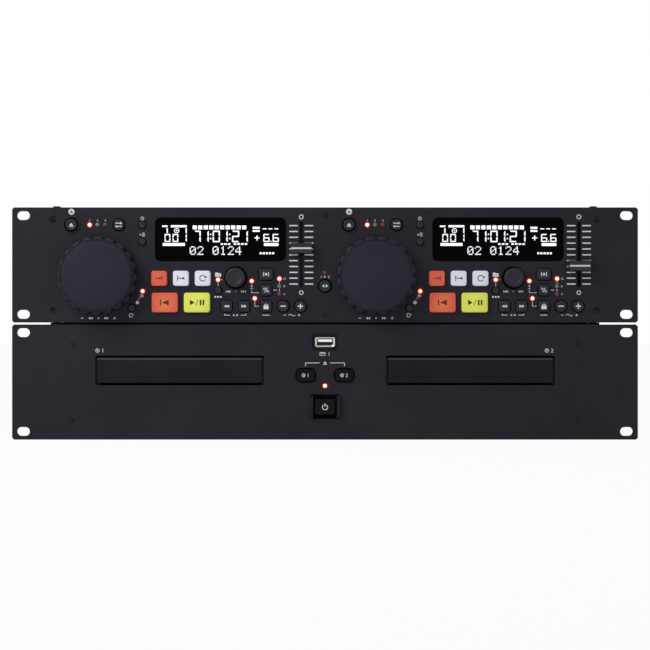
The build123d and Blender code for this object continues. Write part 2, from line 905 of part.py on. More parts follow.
def pickup(deck):
    """The laser pickup's sled with its lens, on two guide rods that lie on the loader's floor."""
    x = tray_centre_x[deck]
    sled_depth = disc_centre_depth + sled_distance
    rod_z = loader_floor_z + loader_wall + rod_d / 2
    with BuildPart() as sled:
        with BuildSketch(level_plane(loader_floor_z + loader_wall, x, sled_depth)):
            Rectangle(rod_spacing + 2 * rod_d, sled_length)
        extrude(amount=sled_height)
        with BuildSketch(level_plane(loader_floor_z + loader_wall, x, sled_depth)):
            with GridLocations(rod_spacing, 0, 2, 1):
                Rectangle(rod_d + 2 * sliding_clearance, sled_length)
        extrude(amount=rod_d + sliding_clearance, mode=Mode.SUBTRACT)
        with BuildSketch(level_plane(loader_floor_z + loader_wall + sled_height, x, sled_depth)):
            round_solid(lens_d)
        extrude(amount=lens_height)
    with BuildPart() as rods:
        with BuildSketch(panel_plane(rod_z, sled_depth, x)):
            with GridLocations(rod_spacing, 0, 2, 1):
                round_solid(rod_d)
        extrude(amount=rod_length / 2, both=True)
    return [sled.part, rods.part]


def gearbox(deck):
    """The closed gearbox that drives the tray, on the loader's floor."""
    with BuildPart() as box:
        back = loader_front + loader_length - gearbox_length / 2 - loader_wall
        with BuildSketch(level_plane(loader_floor_z + loader_wall, tray_centre_x[deck], back)):
            Rectangle(gearbox_width, gearbox_length)
        extrude(amount=gearbox_height)
        with BuildSketch(level_plane(loader_floor_z + loader_wall + gearbox_height, tray_centre_x[deck], back)):
            with Locations((0, -gearbox_pulley_offset)):
                round_solid(gearbox_pulley_d, round_sides)
        extrude(amount=gearbox_pulley_height)
    return box.part


loader_pieces = []
for deck in tray_centre_x:
    loader_pieces.append(loader_frame(deck))
    loader_pieces.append(disc_clamp(deck))
    loader_pieces.append(spindle(deck))
    loader_pieces.extend(pickup(deck))
    loader_pieces.append(gearbox(deck))
gather(loader_pieces, "disc_loaders")


def disc_tray(deck):
    """A sliding tray: stepped wells for both disc sizes, pickup slot, thumb notches and runners."""
    x = tray_centre_x[deck]
    middle = door_thickness + tray_length / 2
    disc_y = disc_centre_depth - middle
    with BuildPart() as tray:
        with BuildSketch(level_plane(tray_bottom_z, x, middle)) as outline:
            Rectangle(tray_width, tray_length)
            chamfer(outline.vertices().group_by(Axis.Y)[-1], tray_corner)
        extrude(amount=tray_thickness)
        with BuildSketch(level_plane(tray_top_z, x, disc_centre_depth)):
            round_hole(disc_well_d, large_sides)
        extrude(amount=-disc_well_depth, mode=Mode.SUBTRACT)
        with BuildSketch(level_plane(tray_top_z - disc_well_depth, x, disc_centre_depth)):
            round_hole(small_well_d, large_sides)
        extrude(amount=-small_well_depth, mode=Mode.SUBTRACT)
        with BuildSketch(level_plane(tray_bottom_z, x, middle)):
            with Locations((0, disc_y)):
                round_hole(spindle_hole_d, round_sides)
            with Locations((0, disc_y + pickup_slot_length / 2)):
                soft_rectangle(pickup_slot_width, pickup_slot_length, pickup_slot_corner)
            with Locations((0, disc_y - disc_well_d / 2 + thumb_slot_width)):
                soft_rectangle(thumb_slot_length, thumb_slot_width, thumb_slot_width / 2)
        extrude(amount=tray_thickness, mode=Mode.SUBTRACT)
        with BuildSketch(level_plane(tray_bottom_z, x, middle)):
            with GridLocations(tray_width - runner_width, 0, 2, 1):
                Rectangle(runner_width, runner_length)
        extrude(amount=-runner_height)
    return tray.part


def tray_door(deck):
    """The tray's front trim, bevelled back along its top edge."""
    with BuildPart() as door:
        with BuildSketch(player_plane(door_thickness, tray_centre_x[deck])):
            with Locations((0, tray_z)):
                Rectangle(door_width, door_height)
        extrude(amount=door_thickness)
        front = door.faces().sort_by(Axis.Y)[0]
        chamfer(front.edges().sort_by(Axis.Z)[-1], door_bevel)
        front = door.faces().sort_by(Axis.Y)[0]
        chamfer(front.edges().sort_by(Axis.Z)[0], door_edge)
    return door.part


for deck in tray_centre_x:
    gather([disc_tray(deck), tray_door(deck)], f"disc_tray_{deck}")


# ---------------------------------------------------------------- player electronics


def leds(middle_z, origin_x, places):
    """Indicator lamps from the board out through the panel."""
    with BuildPart() as lamps:
        with BuildSketch(panel_plane(middle_z, board_depth, origin_x)):
            with Locations(places):
                round_solid(led_d)
        extrude(amount=board_depth + led_proud)
    return lamps.part


with BuildPart() as front_board:
    board_height = front_board_top - front_board_bottom
    board_middle = (front_board_top + front_board_bottom) / 2
    with BuildSketch(player_plane(board_depth)):
        with Locations((0, board_middle)):
            Rectangle(front_board_width, board_height)
    extrude(amount=-board_thickness)
    with BuildSketch(player_plane(board_depth)):
        with Locations((0, board_middle)):
            with GridLocations(front_board_width - spacer_d, board_height - spacer_d, 2, 2):
                round_solid(spacer_d)
    extrude(amount=board_depth - panel_thickness)

with BuildPart() as open_switches:
    with BuildSketch(player_plane(board_depth)):
        with Locations((-open_x, open_z), (open_x, open_z)):
            Rectangle(switch_width, switch_width)
    extrude(amount=switch_height)

with BuildPart() as power_switch:
    with BuildSketch(player_plane(board_depth)):
        with Locations((0, power_z)):
            Rectangle(power_width, power_height)
    extrude(amount=power_switch_height)


def usb_tube(wall):
    """The USB shell's flared tube, `wall` smaller than its outside on every side."""
    flare_back = usb_recess_depth + usb_flare
    with BuildPart() as tube:
        for depth, width, height in (
            (usb_recess_depth, usb_mouth_width, usb_mouth_height),
            (flare_back, usb_shell_width, usb_shell_height),
        ):
            with BuildSketch(player_plane(depth)):
                with Locations((0, usb_z)):
                    soft_rectangle(width - 2 * wall, height - 2 * wall, usb_flare)
        loft()
        with BuildSketch(player_plane(flare_back)):
            with Locations((0, usb_z)):
                soft_rectangle(usb_shell_width - 2 * wall, usb_shell_height - 2 * wall, usb_flare)
        extrude(amount=flare_back + wall - board_depth)
    return tube.part


with BuildPart() as usb_shell_piece:
    add(usb_tube(0.0))
    add(usb_tube(usb_shell), mode=Mode.SUBTRACT)

with BuildPart() as usb_tongue:
    tongue_z = usb_z + usb_shell_height / 2 - 2 * usb_shell - usb_tongue_thickness / 2
    with BuildSketch(player_plane(board_depth - usb_shell)):
        with Locations((0, tongue_z)):
            Rectangle(usb_tongue_width, usb_tongue_thickness)
    extrude(amount=usb_tongue_length)

with BuildPart() as main_circuit_board:
    board_centre = main_board_front + main_board_length / 2
    with BuildSketch(level_plane(sheet + main_board_rise, 0, board_centre)):
        Rectangle(main_board_width, main_board_length)
    extrude(amount=board_thickness)
    with BuildSketch(level_plane(sheet, 0, board_centre)):
        with GridLocations(main_board_width - 2 * spacer_d, main_board_length - 2 * spacer_d, 2, 2):
            round_solid(spacer_d)
    extrude(amount=main_board_rise)

chips_z = sheet + main_board_rise + board_thickness
with BuildPart() as chips:
    with BuildSketch(level_plane(chips_z, 0, board_centre)):
        with GridLocations(chip_pitch_x, chip_pitch_y, 2, 2):
            Rectangle(chip_width, chip_width)
    extrude(amount=chip_height)

with BuildPart() as heat_sink:
    with BuildSketch(level_plane(chips_z, 0, main_board_front + fin_length)):
        Rectangle(fin_pitch * fin_count, fin_length)
    extrude(amount=fin_thickness)
    with BuildSketch(level_plane(chips_z, 0, main_board_front + fin_length)):
        with GridLocations(fin_pitch, 0, fin_count, 1):
            Rectangle(fin_thickness, fin_length)
    extrude(amount=fin_height)

with BuildPart() as transformer:
    transformer_depth = player_depth - sheet - transformer_length / 2 - case_flange
    with BuildSketch(level_plane(sheet, transformer_x, transformer_depth)):
        Rectangle(transformer_width, transformer_core_length)
    extrude(amount=transformer_height)
    with BuildSketch(level_plane(sheet + transformer_coil_rise, transformer_x, transformer_depth)):
        Rectangle(transformer_coil_width, transformer_length)
    extrude(amount=transformer_coil_height)


def rear_plane(depth, rise=rear_socket_rise):
    return panel_plane(rise, depth)


with BuildPart() as mains_inlet:
    with BuildSketch(rear_plane(player_depth + inlet_flange)):
        with Locations((inlet_x, 0)):
            Rectangle(inlet_width, inlet_height)
    extrude(amount=inlet_flange)
    with BuildSketch(rear_plane(player_depth)):
        with Locations((inlet_x, 0)):
            Rectangle(inlet_mouth_width + 2 * inlet_flange, inlet_mouth_height + 2 * inlet_flange)
    extrude(amount=inlet_body_depth)
    with BuildSketch(rear_plane(player_depth + inlet_flange)) as inlet_mouth:
        with Locations((inlet_x, 0)):
            Rectangle(inlet_mouth_width, inlet_mouth_height)
        chamfer(inlet_mouth.vertices().group_by(Axis.Y)[-1], inlet_mouth_bevel)
    extrude(amount=inlet_mouth_depth, mode=Mode.SUBTRACT)

with BuildPart() as inlet_pins:
    with BuildSketch(rear_plane(player_depth + inlet_flange - inlet_mouth_depth)):
        with Locations((inlet_x, 0)):
            with GridLocations(2 * inlet_pin_spacing, 0, 2, 1):
                Rectangle(inlet_pin_width, inlet_pin_height)
            with Locations((0, inlet_pin_height)):
                Rectangle(inlet_pin_width, inlet_pin_height)
    extrude(amount=-inlet_pin_length)

rear_wall_inside = player_depth - sheet
rear_board_front = rear_wall_inside - jack_base_d
with BuildPart() as line_jacks:
    with BuildSketch(rear_plane(rear_wall_inside)):
        with Locations(jack_places):
            Rectangle(jack_base_d, jack_base_d)
    extrude(amount=jack_base_d)
    with BuildSketch(rear_plane(rear_wall_inside)):
        with Locations(jack_places):
            round_solid(jack_d, jack_sides)
    extrude(amount=-(sheet + jack_proud))
    with BuildSketch(rear_plane(player_depth + jack_proud)):
        with Locations(jack_places):
            round_hole(jack_bore_d)
    extrude(amount=jack_proud, mode=Mode.SUBTRACT)

with BuildPart() as rear_board:
    with BuildSketch(rear_plane(rear_board_front)):
        with Locations((jack_first_x + (jack_count - 1) * jack_spacing / 2, 0)):
            Rectangle(jack_count * jack_spacing, 2 * jack_base_d)
    extrude(amount=board_thickness)


def din_sockets(middle_z, depth):
    """Round control sockets in a rear wall, each with a groove for the plug's shell."""
    with BuildPart() as sockets:
        with BuildSketch(panel_plane(middle_z, depth + inlet_flange)):
            with Locations(din_places):
                round_solid(din_d + 2 * inlet_flange, round_sides)
        extrude(amount=inlet_flange)
        with BuildSketch(panel_plane(middle_z, depth)):
            with Locations(din_places):
                round_solid(din_d, round_sides)
        extrude(amount=din_depth)
        with BuildSketch(panel_plane(middle_z, depth + inlet_flange)):
            with Locations(din_places):
                round_hole(din_d - 2 * inlet_flange, round_sides)
                round_hole(din_post_d, round_sides, mode=Mode.SUBTRACT)
        extrude(amount=din_recess, mode=Mode.SUBTRACT)
    return sockets.part


gather(
    [
        front_board.part,
        open_switches.part,
        power_switch.part,
        leds(player_mid, 0, [(0, player_led_z)]),
        usb_shell_piece.part,
        usb_tongue.part,
        main_circuit_board.part,
        chips.part,
        heat_sink.part,
        transformer.part,
        mains_inlet.part,
        inlet_pins.part,
        line_jacks.part,
        rear_board.part,
        din_sockets(rear_socket_rise, player_depth),
    ],
    "main_board",
)

for deck, side in ((1, -1), (2, 1)):
    button = open_key._replace(x=side * open_x)
    save(key_piece(button, player_mid, 0, stem_end), f"open_button_{deck}")
save(key_piece(power_key, player_mid, 0, board_depth - power_switch_height), "power_button")


# ---------------------------------------------------------------- control unit


def display_window(deck):
    """The smoked window that seats on the ledge round the display opening."""
    with BuildPart() as window:
        with BuildSketch(deck_plane(deck, window_thickness - window_proud)):
            with Locations((window_x, window_z)):
                soft_rectangle(window_width, window_height, window_corner)
        extrude(amount=window_thickness)
        chamfer(window.faces().sort_by(Axis.Y)[0].edges(), window_proud)
    return window.part


gather([display_window(deck) for deck in deck_x], "display_windows")


with BuildPart() as control_circuit_board:
    with BuildSketch(control_plane(board_depth)):
        Rectangle(control_board_width, control_board_height)
    extrude(amount=-board_thickness)
    for deck in deck_x:
        with BuildSketch(deck_plane(deck, board_depth)):
            with Locations(deck_spacers):
                round_solid(spacer_d)
        extrude(amount=board_depth - panel_thickness)

with BuildPart() as key_switches:
    for deck in deck_x:
        with BuildSketch(deck_plane(deck, board_depth)):
            with Locations([(key.x, key.z) for key in deck_keys]):
                Rectangle(switch_width, switch_width)
        extrude(amount=switch_height)
    with BuildSketch(control_plane(board_depth)):
        with Locations((relay_x, relay_z)):
            Rectangle(switch_width, switch_width)
    extrude(amount=switch_height)

with BuildPart() as display_modules:
    for deck in deck_x:
        with BuildSketch(deck_plane(deck, board_depth)):
            with Locations((window_x, window_z)):
                Rectangle(display_width, display_height)
        extrude(amount=board_depth - window_thickness + window_proud - sliding_clearance)

with BuildPart() as encoders:
    for deck in deck_x:
        for x, z, shaft_d in ((wheel_x, wheel_z, wheel_shaft_d), (knob_x, knob_z, knob_shaft_d)):
            with BuildSketch(deck_plane(deck, board_depth)):
                with Locations((x, z)):
                    round_solid(encoder_d, round_sides)
                    round_hole(shaft_d + 2 * running_clearance, mode=Mode.SUBTRACT)
            extrude(amount=encoder_height)

with BuildPart() as fader_bodies:
    for deck in deck_x:
        with BuildSketch(deck_plane(deck, board_depth)):
            with Locations((fader_x, fader_z)):
                Rectangle(fader_body_width, fader_body_length)
        extrude(amount=fader_body_height)
        with BuildSketch(deck_plane(deck, board_depth - fader_body_height)):
            with Locations((fader_x, fader_z)):
                Rectangle(fader_slot_width, fader_slot_length)
        groove = fader_stem_depth + fader_stem_clearance + fader_body_height - board_depth
        extrude(amount=-groove, mode=Mode.SUBTRACT)

gather(
    [
        control_circuit_board.part,
        key_switches.part,
        display_modules.part,
        encoders.part,
        fader_bodies.part,
        leds(control_mid, deck_x[1], deck_leds),
        leds(control_mid, deck_x[2], deck_leds),
        leds(control_mid, 0, [(relay_x, relay_led_z)]),
        din_sockets(control_mid, control_depth),
    ],
    "control_board",
)


def grip_outline(phase):
    """The points of a scalloped grip: a rounded lobe at every step, with a notch between two lobes."""
    foot, crown = wheel_lobe_half_angles
    lobe = [(-foot, wheel_body_r), (-crown, wheel_lobe_r), (crown, wheel_lobe_r), (foot, wheel_body_r)]
    points = []
    for step in range(wheel_lobes):
        middle_angle = phase + step * 360 / wheel_lobes
        for offset, radius in lobe:
            angle = math.radians(middle_angle + offset)
            points.append((wheel_x + radius * math.cos(angle), wheel_z + radius * math.sin(angle)))
    return points


def jog_wheel(deck):
    """A jog wheel: scalloped grip, raised disc, hollow back, hub and shaft."""
    at = (wheel_x, wheel_z)
    with BuildPart() as wheel:
        with BuildSketch(deck_plane(deck, -wheel_gap)):
            Polygon(*grip_outline(wheel_phase[deck]), align=None)
        extrude(amount=wheel_skirt_height)
        chamfer(wheel.faces().sort_by(Axis.Y)[0].edges(), wheel_skirt_edge)
        with BuildSketch(deck_plane(deck, -wheel_gap)):
            with Locations(at):
                Circle(wheel_body_r - wheel_skirt_edge)
        extrude(amount=wheel_proud - wheel_gap)
        chamfer(wheel.faces().sort_by(Axis.Y)[0].edges(), wheel_rim_edge)
        with BuildSketch(deck_plane(deck, -wheel_gap)):
            with Locations(at):
                round_hole(2 * (wheel_body_r - wheel_wall), large_sides)
                round_solid(wheel_hub_d, round_sides, mode=Mode.SUBTRACT)
        extrude(amount=wheel_proud - wheel_gap - wheel_top, mode=Mode.SUBTRACT)
        with BuildSketch(deck_plane(deck, board_depth - stop_clearance)):
            with Locations(at):
                round_solid(wheel_shaft_d, round_sides)
        extrude(amount=board_depth - stop_clearance + wheel_gap)
    return wheel.part


def track_knob(deck):
    """A rotary knob with a dished top, on a shaft down into its encoder."""
    at = (knob_x, knob_z)
    with BuildPart() as knob:
        with BuildSketch(deck_plane(deck, knob_skirt_depth)):
            with Locations(at):
                round_solid(knob_d, knob_sides)
        extrude(amount=knob_skirt_depth + knob_proud)
        chamfer(knob.faces().sort_by(Axis.Y)[0].edges(), knob_edge)
        with BuildSketch(deck_plane(deck, -knob_proud)):
            with Locations(at):
                round_hole(knob_dish_d, round_sides)
        extrude(amount=-knob_dish_depth, taper=knob_dish_angle, mode=Mode.SUBTRACT)
        with BuildSketch(deck_plane(deck, board_depth - stop_clearance)):
            with Locations(at):
                Circle(knob_shaft_d / 2)
        extrude(amount=board_depth - stop_clearance - knob_skirt_depth)
    return knob.part


def pitch_fader(deck):
    """A fader cap with a hollowed top, on the flat stem that slides in its slot."""
    at = (fader_x, fader_z + fader_rest[deck])
    side = Plane(
        origin=(deck_x[deck] + fader_x, panel_front - fader_cap_gap, control_mid + at[1]),
        x_dir=(0, -1, 0),
        z_dir=(1, 0, 0),
    )
    height = fader_cap_proud - fader_cap_gap
    half = fader_cap_height / 2
    top_half = half - fader_cap_waist / 2
    with BuildPart() as fader:
        with BuildSketch(side):
            with BuildLine():
                Polyline((height, -top_half), (0, -half), (0, half), (height, top_half))
                ThreePointArc((height, top_half), (height - fader_cap_waist, 0), (height, -top_half))
            make_face()
        extrude(amount=fader_cap_width / 2, both=True)
        with BuildSketch(deck_plane(deck, fader_stem_depth)):
            with Locations(at):
                Rectangle(fader_stem_width, fader_stem_height)
        extrude(amount=fader_stem_depth + fader_cap_gap)
    return fader.part


for deck in deck_x:
    for key in deck_keys:
        save(key_piece(key, control_mid, deck_x[deck], stem_end), f"{key.name}_{deck}")
    save(jog_wheel(deck), f"jog_wheel_{deck}")
    save(track_knob(deck), f"track_knob_{deck}")
    save(pitch_fader(deck), f"pitch_fader_{deck}")
save(key_piece(relay_key, control_mid, 0, stem_end), "relay_button")
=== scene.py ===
"""Finishes, prints, lamps and display segments for the dual disc player, and the studio it stands in.

The studio's sizes are in metres, its lens apart. Prints and segments are drawn in millimetres on the
face of a panel, x to the right and z up from the middle of a deck or a panel, as on a printer's film.
"""

import json
import math
from collections import namedtuple

import bpy
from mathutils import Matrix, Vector


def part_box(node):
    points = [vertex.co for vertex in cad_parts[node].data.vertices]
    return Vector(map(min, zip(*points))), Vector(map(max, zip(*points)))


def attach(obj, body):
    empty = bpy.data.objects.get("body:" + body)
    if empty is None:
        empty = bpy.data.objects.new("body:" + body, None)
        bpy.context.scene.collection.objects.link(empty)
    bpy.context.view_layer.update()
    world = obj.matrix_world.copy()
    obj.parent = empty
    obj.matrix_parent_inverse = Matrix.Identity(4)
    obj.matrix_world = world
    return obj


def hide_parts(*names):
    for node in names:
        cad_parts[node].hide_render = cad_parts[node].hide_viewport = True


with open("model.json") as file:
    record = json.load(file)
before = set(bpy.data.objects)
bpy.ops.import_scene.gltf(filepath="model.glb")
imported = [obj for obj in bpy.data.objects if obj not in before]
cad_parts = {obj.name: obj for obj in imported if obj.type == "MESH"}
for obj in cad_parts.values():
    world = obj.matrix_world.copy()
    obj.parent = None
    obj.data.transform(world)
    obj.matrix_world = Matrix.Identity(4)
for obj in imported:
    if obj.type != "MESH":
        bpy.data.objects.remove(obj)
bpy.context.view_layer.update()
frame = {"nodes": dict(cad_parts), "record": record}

bl_info = {
    "name": "Dual disc player looks",
    "version": (1, 0, 0),
    "blender": (4, 5, 0),
    "location": "3D View > Sidebar > Disc player",
    "description": "Dresses the packed disc player with finishes, prints, lamps and display segments",
    "category": "Object",
}

MM = 0.001
PANEL_THICKNESS = 3 * MM

# The sizes and places below are in millimetres and degrees.
INK_THICKNESS = 0.05
INK_SUNK = 0.03
SHARP_ANGLE = 40
RELIEF_DEPTH = 0.05
ROUGHNESS_SPREAD = 0.25
FLANGE_LIP = 0.7
FLANGE_BACK = -4.0
FLANGE_FRONT = -3.0
PAINTED_SHADE_BELOW = -2.5
STEM_RADIUS = 1.5
STEM_CORNER = 0.3
DISH_RIM = 0.3
DISH_FLOOR = 1.1
SHAFT_RADIUS = 3.0
ROUND_KEY_SIDES = 40
GRIP_LOBES = 20
POINTS_PER_LOBE = 12
LOBE_FOOT = 7.0
LOBE_TOP = 4.0
WHEEL_BODY = 28.1
WHEEL_LOBE = 30.0
WHEEL_DISC = 27.9
WHEEL_GAP = 0.8
SKIRT_TOP = 10.5
SKIRT_SOFT = 1.0
DISC_SOFT = 0.5
DISC_EDGE_DROP = 0.1
GROOVE_OUTER = 27.3
GROOVE_INNER = 26.7
WHEEL_PHASES = {1: 15.8, 2: 10.0}
KNOB_RADIUS = 7.5
KNOB_SIDES = 64
KNOB_BACK = -2.0
KNOB_SOFT = 1.3
LENS_RADIUS = 1.6
LENS_SIDES = 24
LENS_STEPS = 6
LENS_BACK = -0.75
LENS_EDGE = 0.2
LENS_DOME = 0.7
GLOW_RADIUS = 3.3
GLOW_LEVELS = (0.02, 0.12)
EJECT_LABEL_RISE = 10.1
FADER_MIDDLE_Z = 7.8
FADER_TICK_PITCH = 4.5
FADER_TICK_X = 5.9
FADER_LINE_DROP = 1.58
RELAY_LAMP_Z = -6.0
POWER_LAMP_Z = -2.9
DISC_CENTRE_DEPTH = 72.0
TURNTABLE_REACH = 13.5
PANEL_SCREW_INSET = 2.4
PANEL_SCREW_FROM_EDGE = 9.4

# Faces that wear another finish than the rest of their node. The openings' walls, the power frame, the
# port's recess and hollow and the hem wear painted shade, the door's bevel a painted highlight and the
# port's tongue a painted glow. Depths run back from the panels' front, and the power frame's run forward
OPENINGS_HALF_HEIGHT = 43.0
OPENING_WALL = (0.6, 2.9)
POWER_FRAME_HALF = (11.6, 9.4)
POWER_FRAME_FROM = 0.1
POWER_RAIL_FROM = 0.9
PORT_RECESS_HALF = (10.3, 6.7)
PORT_RECESS_FLOOR = (0.1, 0.6)
PORT_HALF_WIDTH = 9.0
PORT_DROP = 5.0
PORT_HOLLOW_HALF = (6.3, 2.5)
TONGUE_HALF_WIDTH = 5.5
TONGUE_RISE = (0.2, 2.1)
INLET_PINS_HALF = (9.0, 3.0)
DOOR_DEPTH = 3.2
HEM_DEPTH = 8.0
HEM_HEIGHT = 3.0

# Radii, and how far each lies under the top: the wheel's groove and the dish in a knob
wheel_groove = ((GROOVE_OUTER, 0.15), (27.2, 0.9), (26.8, 0.9), (GROOVE_INNER, 0.1), (26.4, 0.0))
knob_dish = ((5.1, 0.0), (4.8, 0.12), (4.4, 0.5), (4.0, 0.62), (2.0, 0.55))

# Dust in the soft patches: its colour, and how much it lightens and dulls the finish under it
DUST_COLOR = (0.2, 0.195, 0.19, 1)
DUST_LIGHTENS = 0.12
DUST_DULLS = 0.2

# The studio: the world's strength, the floor's share of white and the camera's sensor
SOFT_LIGHT = 0.29
FLOOR_WHITENESS = 0.95
SENSOR_WIDTH = 36

# Lamps of a deck: across and up from the deck's middle, and what each one shows
deck_lamps = [
    (-74.4, 30.9, "lit"),
    (-68.4, 30.9, "green"),
    (-62.4, 30.9, "red"),
    (-33.6, -20.2, "lit"),
    (-36.3, -25.7, "red"),
    (24.6, -11.4, "lit"),
    (50.5, -12.4, "lit"),
    (52.9, -25.8, "lit"),
    (71.9, -10.6, "lit"),
    (71.9, -16.4, "green"),
    (71.9, -22.5, "red"),
]

mounts = {mount["name"]: mount for mount in frame["record"]["mounts"]}
panel_front = mounts["player_rack_slots"]["pos_m"][1] - PANEL_THICKNESS
player_mid = mounts["player_rack_slots"]["pos_m"][2]
control_mid = mounts["control_rack_slots"]["pos_m"][2]


def middle(node):
    """The middle of a node's box at rest, in metres."""
    low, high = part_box(node)
    return [(a + b) / 2 for a, b in zip(low, high)]


half_deck_pitch = (middle("jog_wheel_2")[0] - middle("jog_wheel_1")[0]) / 2
deck_x = {1: -half_deck_pitch, 2: half_deck_pitch}


def own_origin(node):
    """The middle of a node, on the panels' front."""
    x, _, z = middle(node)
    return x, panel_front, z


def spot(node, deck):
    """A deck node's middle in the deck's own millimetres."""
    x, _, z = middle(node)
    return (x - deck_x[deck]) / MM, (z - control_mid) / MM


def deck_origin(deck):
    return deck_x[deck], panel_front, control_mid


def front_level(node):
    """How far a node stands out of the panels' front, in millimetres."""
    return (panel_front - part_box(node)[0][1]) / MM


def back_level(node):
    """The same for a node's back. It is below nought behind the panels' front."""
    return (panel_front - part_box(node)[1][1]) / MM


def linear(red, green, blue):
    """A colour given as 0 to 255 display values, as Blender's linear values."""
    channels = []
    for value in (red, green, blue):
        share = value / 255
        channels.append(share / 12.92 if share <= 0.04045 else ((share + 0.055) / 1.055) ** 2.4)
    return tuple(channels)


# ------------------------------------------------------------ finishes


def group_sockets(tree, inputs, outputs):
    """Gives a node group its named sockets and returns its input and output nodes."""
    for name, kind, value in inputs:
        socket = tree.interface.new_socket(name=name, in_out="INPUT", socket_type=kind)
        socket.default_value = value
    for name, kind in outputs:
        tree.interface.new_socket(name=name, in_out="OUTPUT", socket_type=kind)
    return tree.nodes.new("NodeGroupInput"), tree.nodes.new("NodeGroupOutput")


def math_node(tree, operation, first, second, third=None):
    """A math node fed by sockets or plain numbers. Returns its output socket."""
    node = tree.nodes.new("ShaderNodeMath")
    node.operation = operation
    for socket, value in zip(node.inputs, (first, second, third)):
        if value is None:
            continue
        if isinstance(value, (int, float)):
            socket.default_value = value
        else:
            tree.links.new(value, socket)
    return node.outputs[0]


def speckle_group():
    """Fine grain of a moulded or painted surface: shifts colour and roughness and gives a height."""
    if "Surface speckle" in bpy.data.node_groups:
        return bpy.data.node_groups["Surface speckle"]
    tree = bpy.data.node_groups.new("Surface speckle", "ShaderNodeTree")
    given, result = group_sockets(
        tree,
        [
            ("Color", "NodeSocketColor", (0.1, 0.1, 0.1, 1)),
            ("Color Spread", "NodeSocketFloat", 0.1),
            ("Roughness", "NodeSocketFloat", 0.4),
            ("Roughness Spread", "NodeSocketFloat", 0.1),
            ("Grain Scale", "NodeSocketFloat", 1500.0),
        ],
        [("Color", "NodeSocketColor"), ("Roughness", "NodeSocketFloat"), ("Height", "NodeSocketFloat")],
    )
    place = tree.nodes.new("ShaderNodeTexCoord")
    grain = tree.nodes.new("ShaderNodeTexNoise")
    grain.inputs["Detail"].default_value = 3
    tree.links.new(place.outputs["Object"], grain.inputs["Vector"])
    tree.links.new(given.outputs["Grain Scale"], grain.inputs["Scale"])
    centred = math_node(tree, "SUBTRACT", grain.outputs["Fac"], 0.5)
    shade = tree.nodes.new("ShaderNodeHueSaturation")
    brightness = math_node(tree, "MULTIPLY_ADD", centred, given.outputs["Color Spread"], 1.0)
    tree.links.new(brightness, shade.inputs["Value"])
    tree.links.new(given.outputs["Color"], shade.inputs["Color"])
    spread = given.outputs["Roughness Spread"]
    rough = math_node(tree, "MULTIPLY_ADD", centred, spread, given.outputs["Roughness"])
    tree.links.new(shade.outputs["Color"], result.inputs["Color"])
    tree.links.new(rough, result.inputs["Roughness"])
    tree.links.new(grain.outputs["Fac"], result.inputs["Height"])
    return tree


def handling_group():
    """Soft patches left by hands and dust, which lighten the colour and dull the gloss."""
    if "Handling marks" in bpy.data.node_groups:
        return bpy.data.node_groups["Handling marks"]
    tree = bpy.data.node_groups.new("Handling marks", "ShaderNodeTree")
    given, result = group_sockets(
        tree,
        [
            ("Color", "NodeSocketColor", (0.1, 0.1, 0.1, 1)),
            ("Roughness", "NodeSocketFloat", 0.4),
            ("Amount", "NodeSocketFloat", 0.3),
            ("Patch Scale", "NodeSocketFloat", 22.0),
        ],
        [("Color", "NodeSocketColor"), ("Roughness", "NodeSocketFloat")],
    )
    place = tree.nodes.new("ShaderNodeTexCoord")
    patches = tree.nodes.new("ShaderNodeTexNoise")
    patches.inputs["Detail"].default_value = 5
    patches.inputs["Roughness"].default_value = 0.62
    tree.links.new(place.outputs["Object"], patches.inputs["Vector"])
    tree.links.new(given.outputs["Patch Scale"], patches.inputs["Scale"])
    mask = tree.nodes.new("ShaderNodeMapRange")
    mask.inputs["From Min"].default_value = 0.46
    mask.inputs["From Max"].default_value = 0.78
    tree.links.new(patches.outputs["Fac"], mask.inputs["Value"])
    strength = math_node(tree, "MULTIPLY", mask.outputs["Result"], given.outputs["Amount"])
    dust = tree.nodes.new("ShaderNodeMix")
    dust.data_type = "RGBA"
    dust.inputs["B"].default_value = DUST_COLOR
    tree.links.new(math_node(tree, "MULTIPLY", strength, DUST_LIGHTENS), dust.inputs["Factor"])
    tree.links.new(given.outputs["Color"], dust.inputs["A"])
    tree.links.new(dust.outputs["Result"], result.inputs["Color"])
    dulled = math_node(tree, "MULTIPLY_ADD", strength, DUST_DULLS, given.outputs["Roughness"])
    tree.links.new(dulled, result.inputs["Roughness"])
    return tree


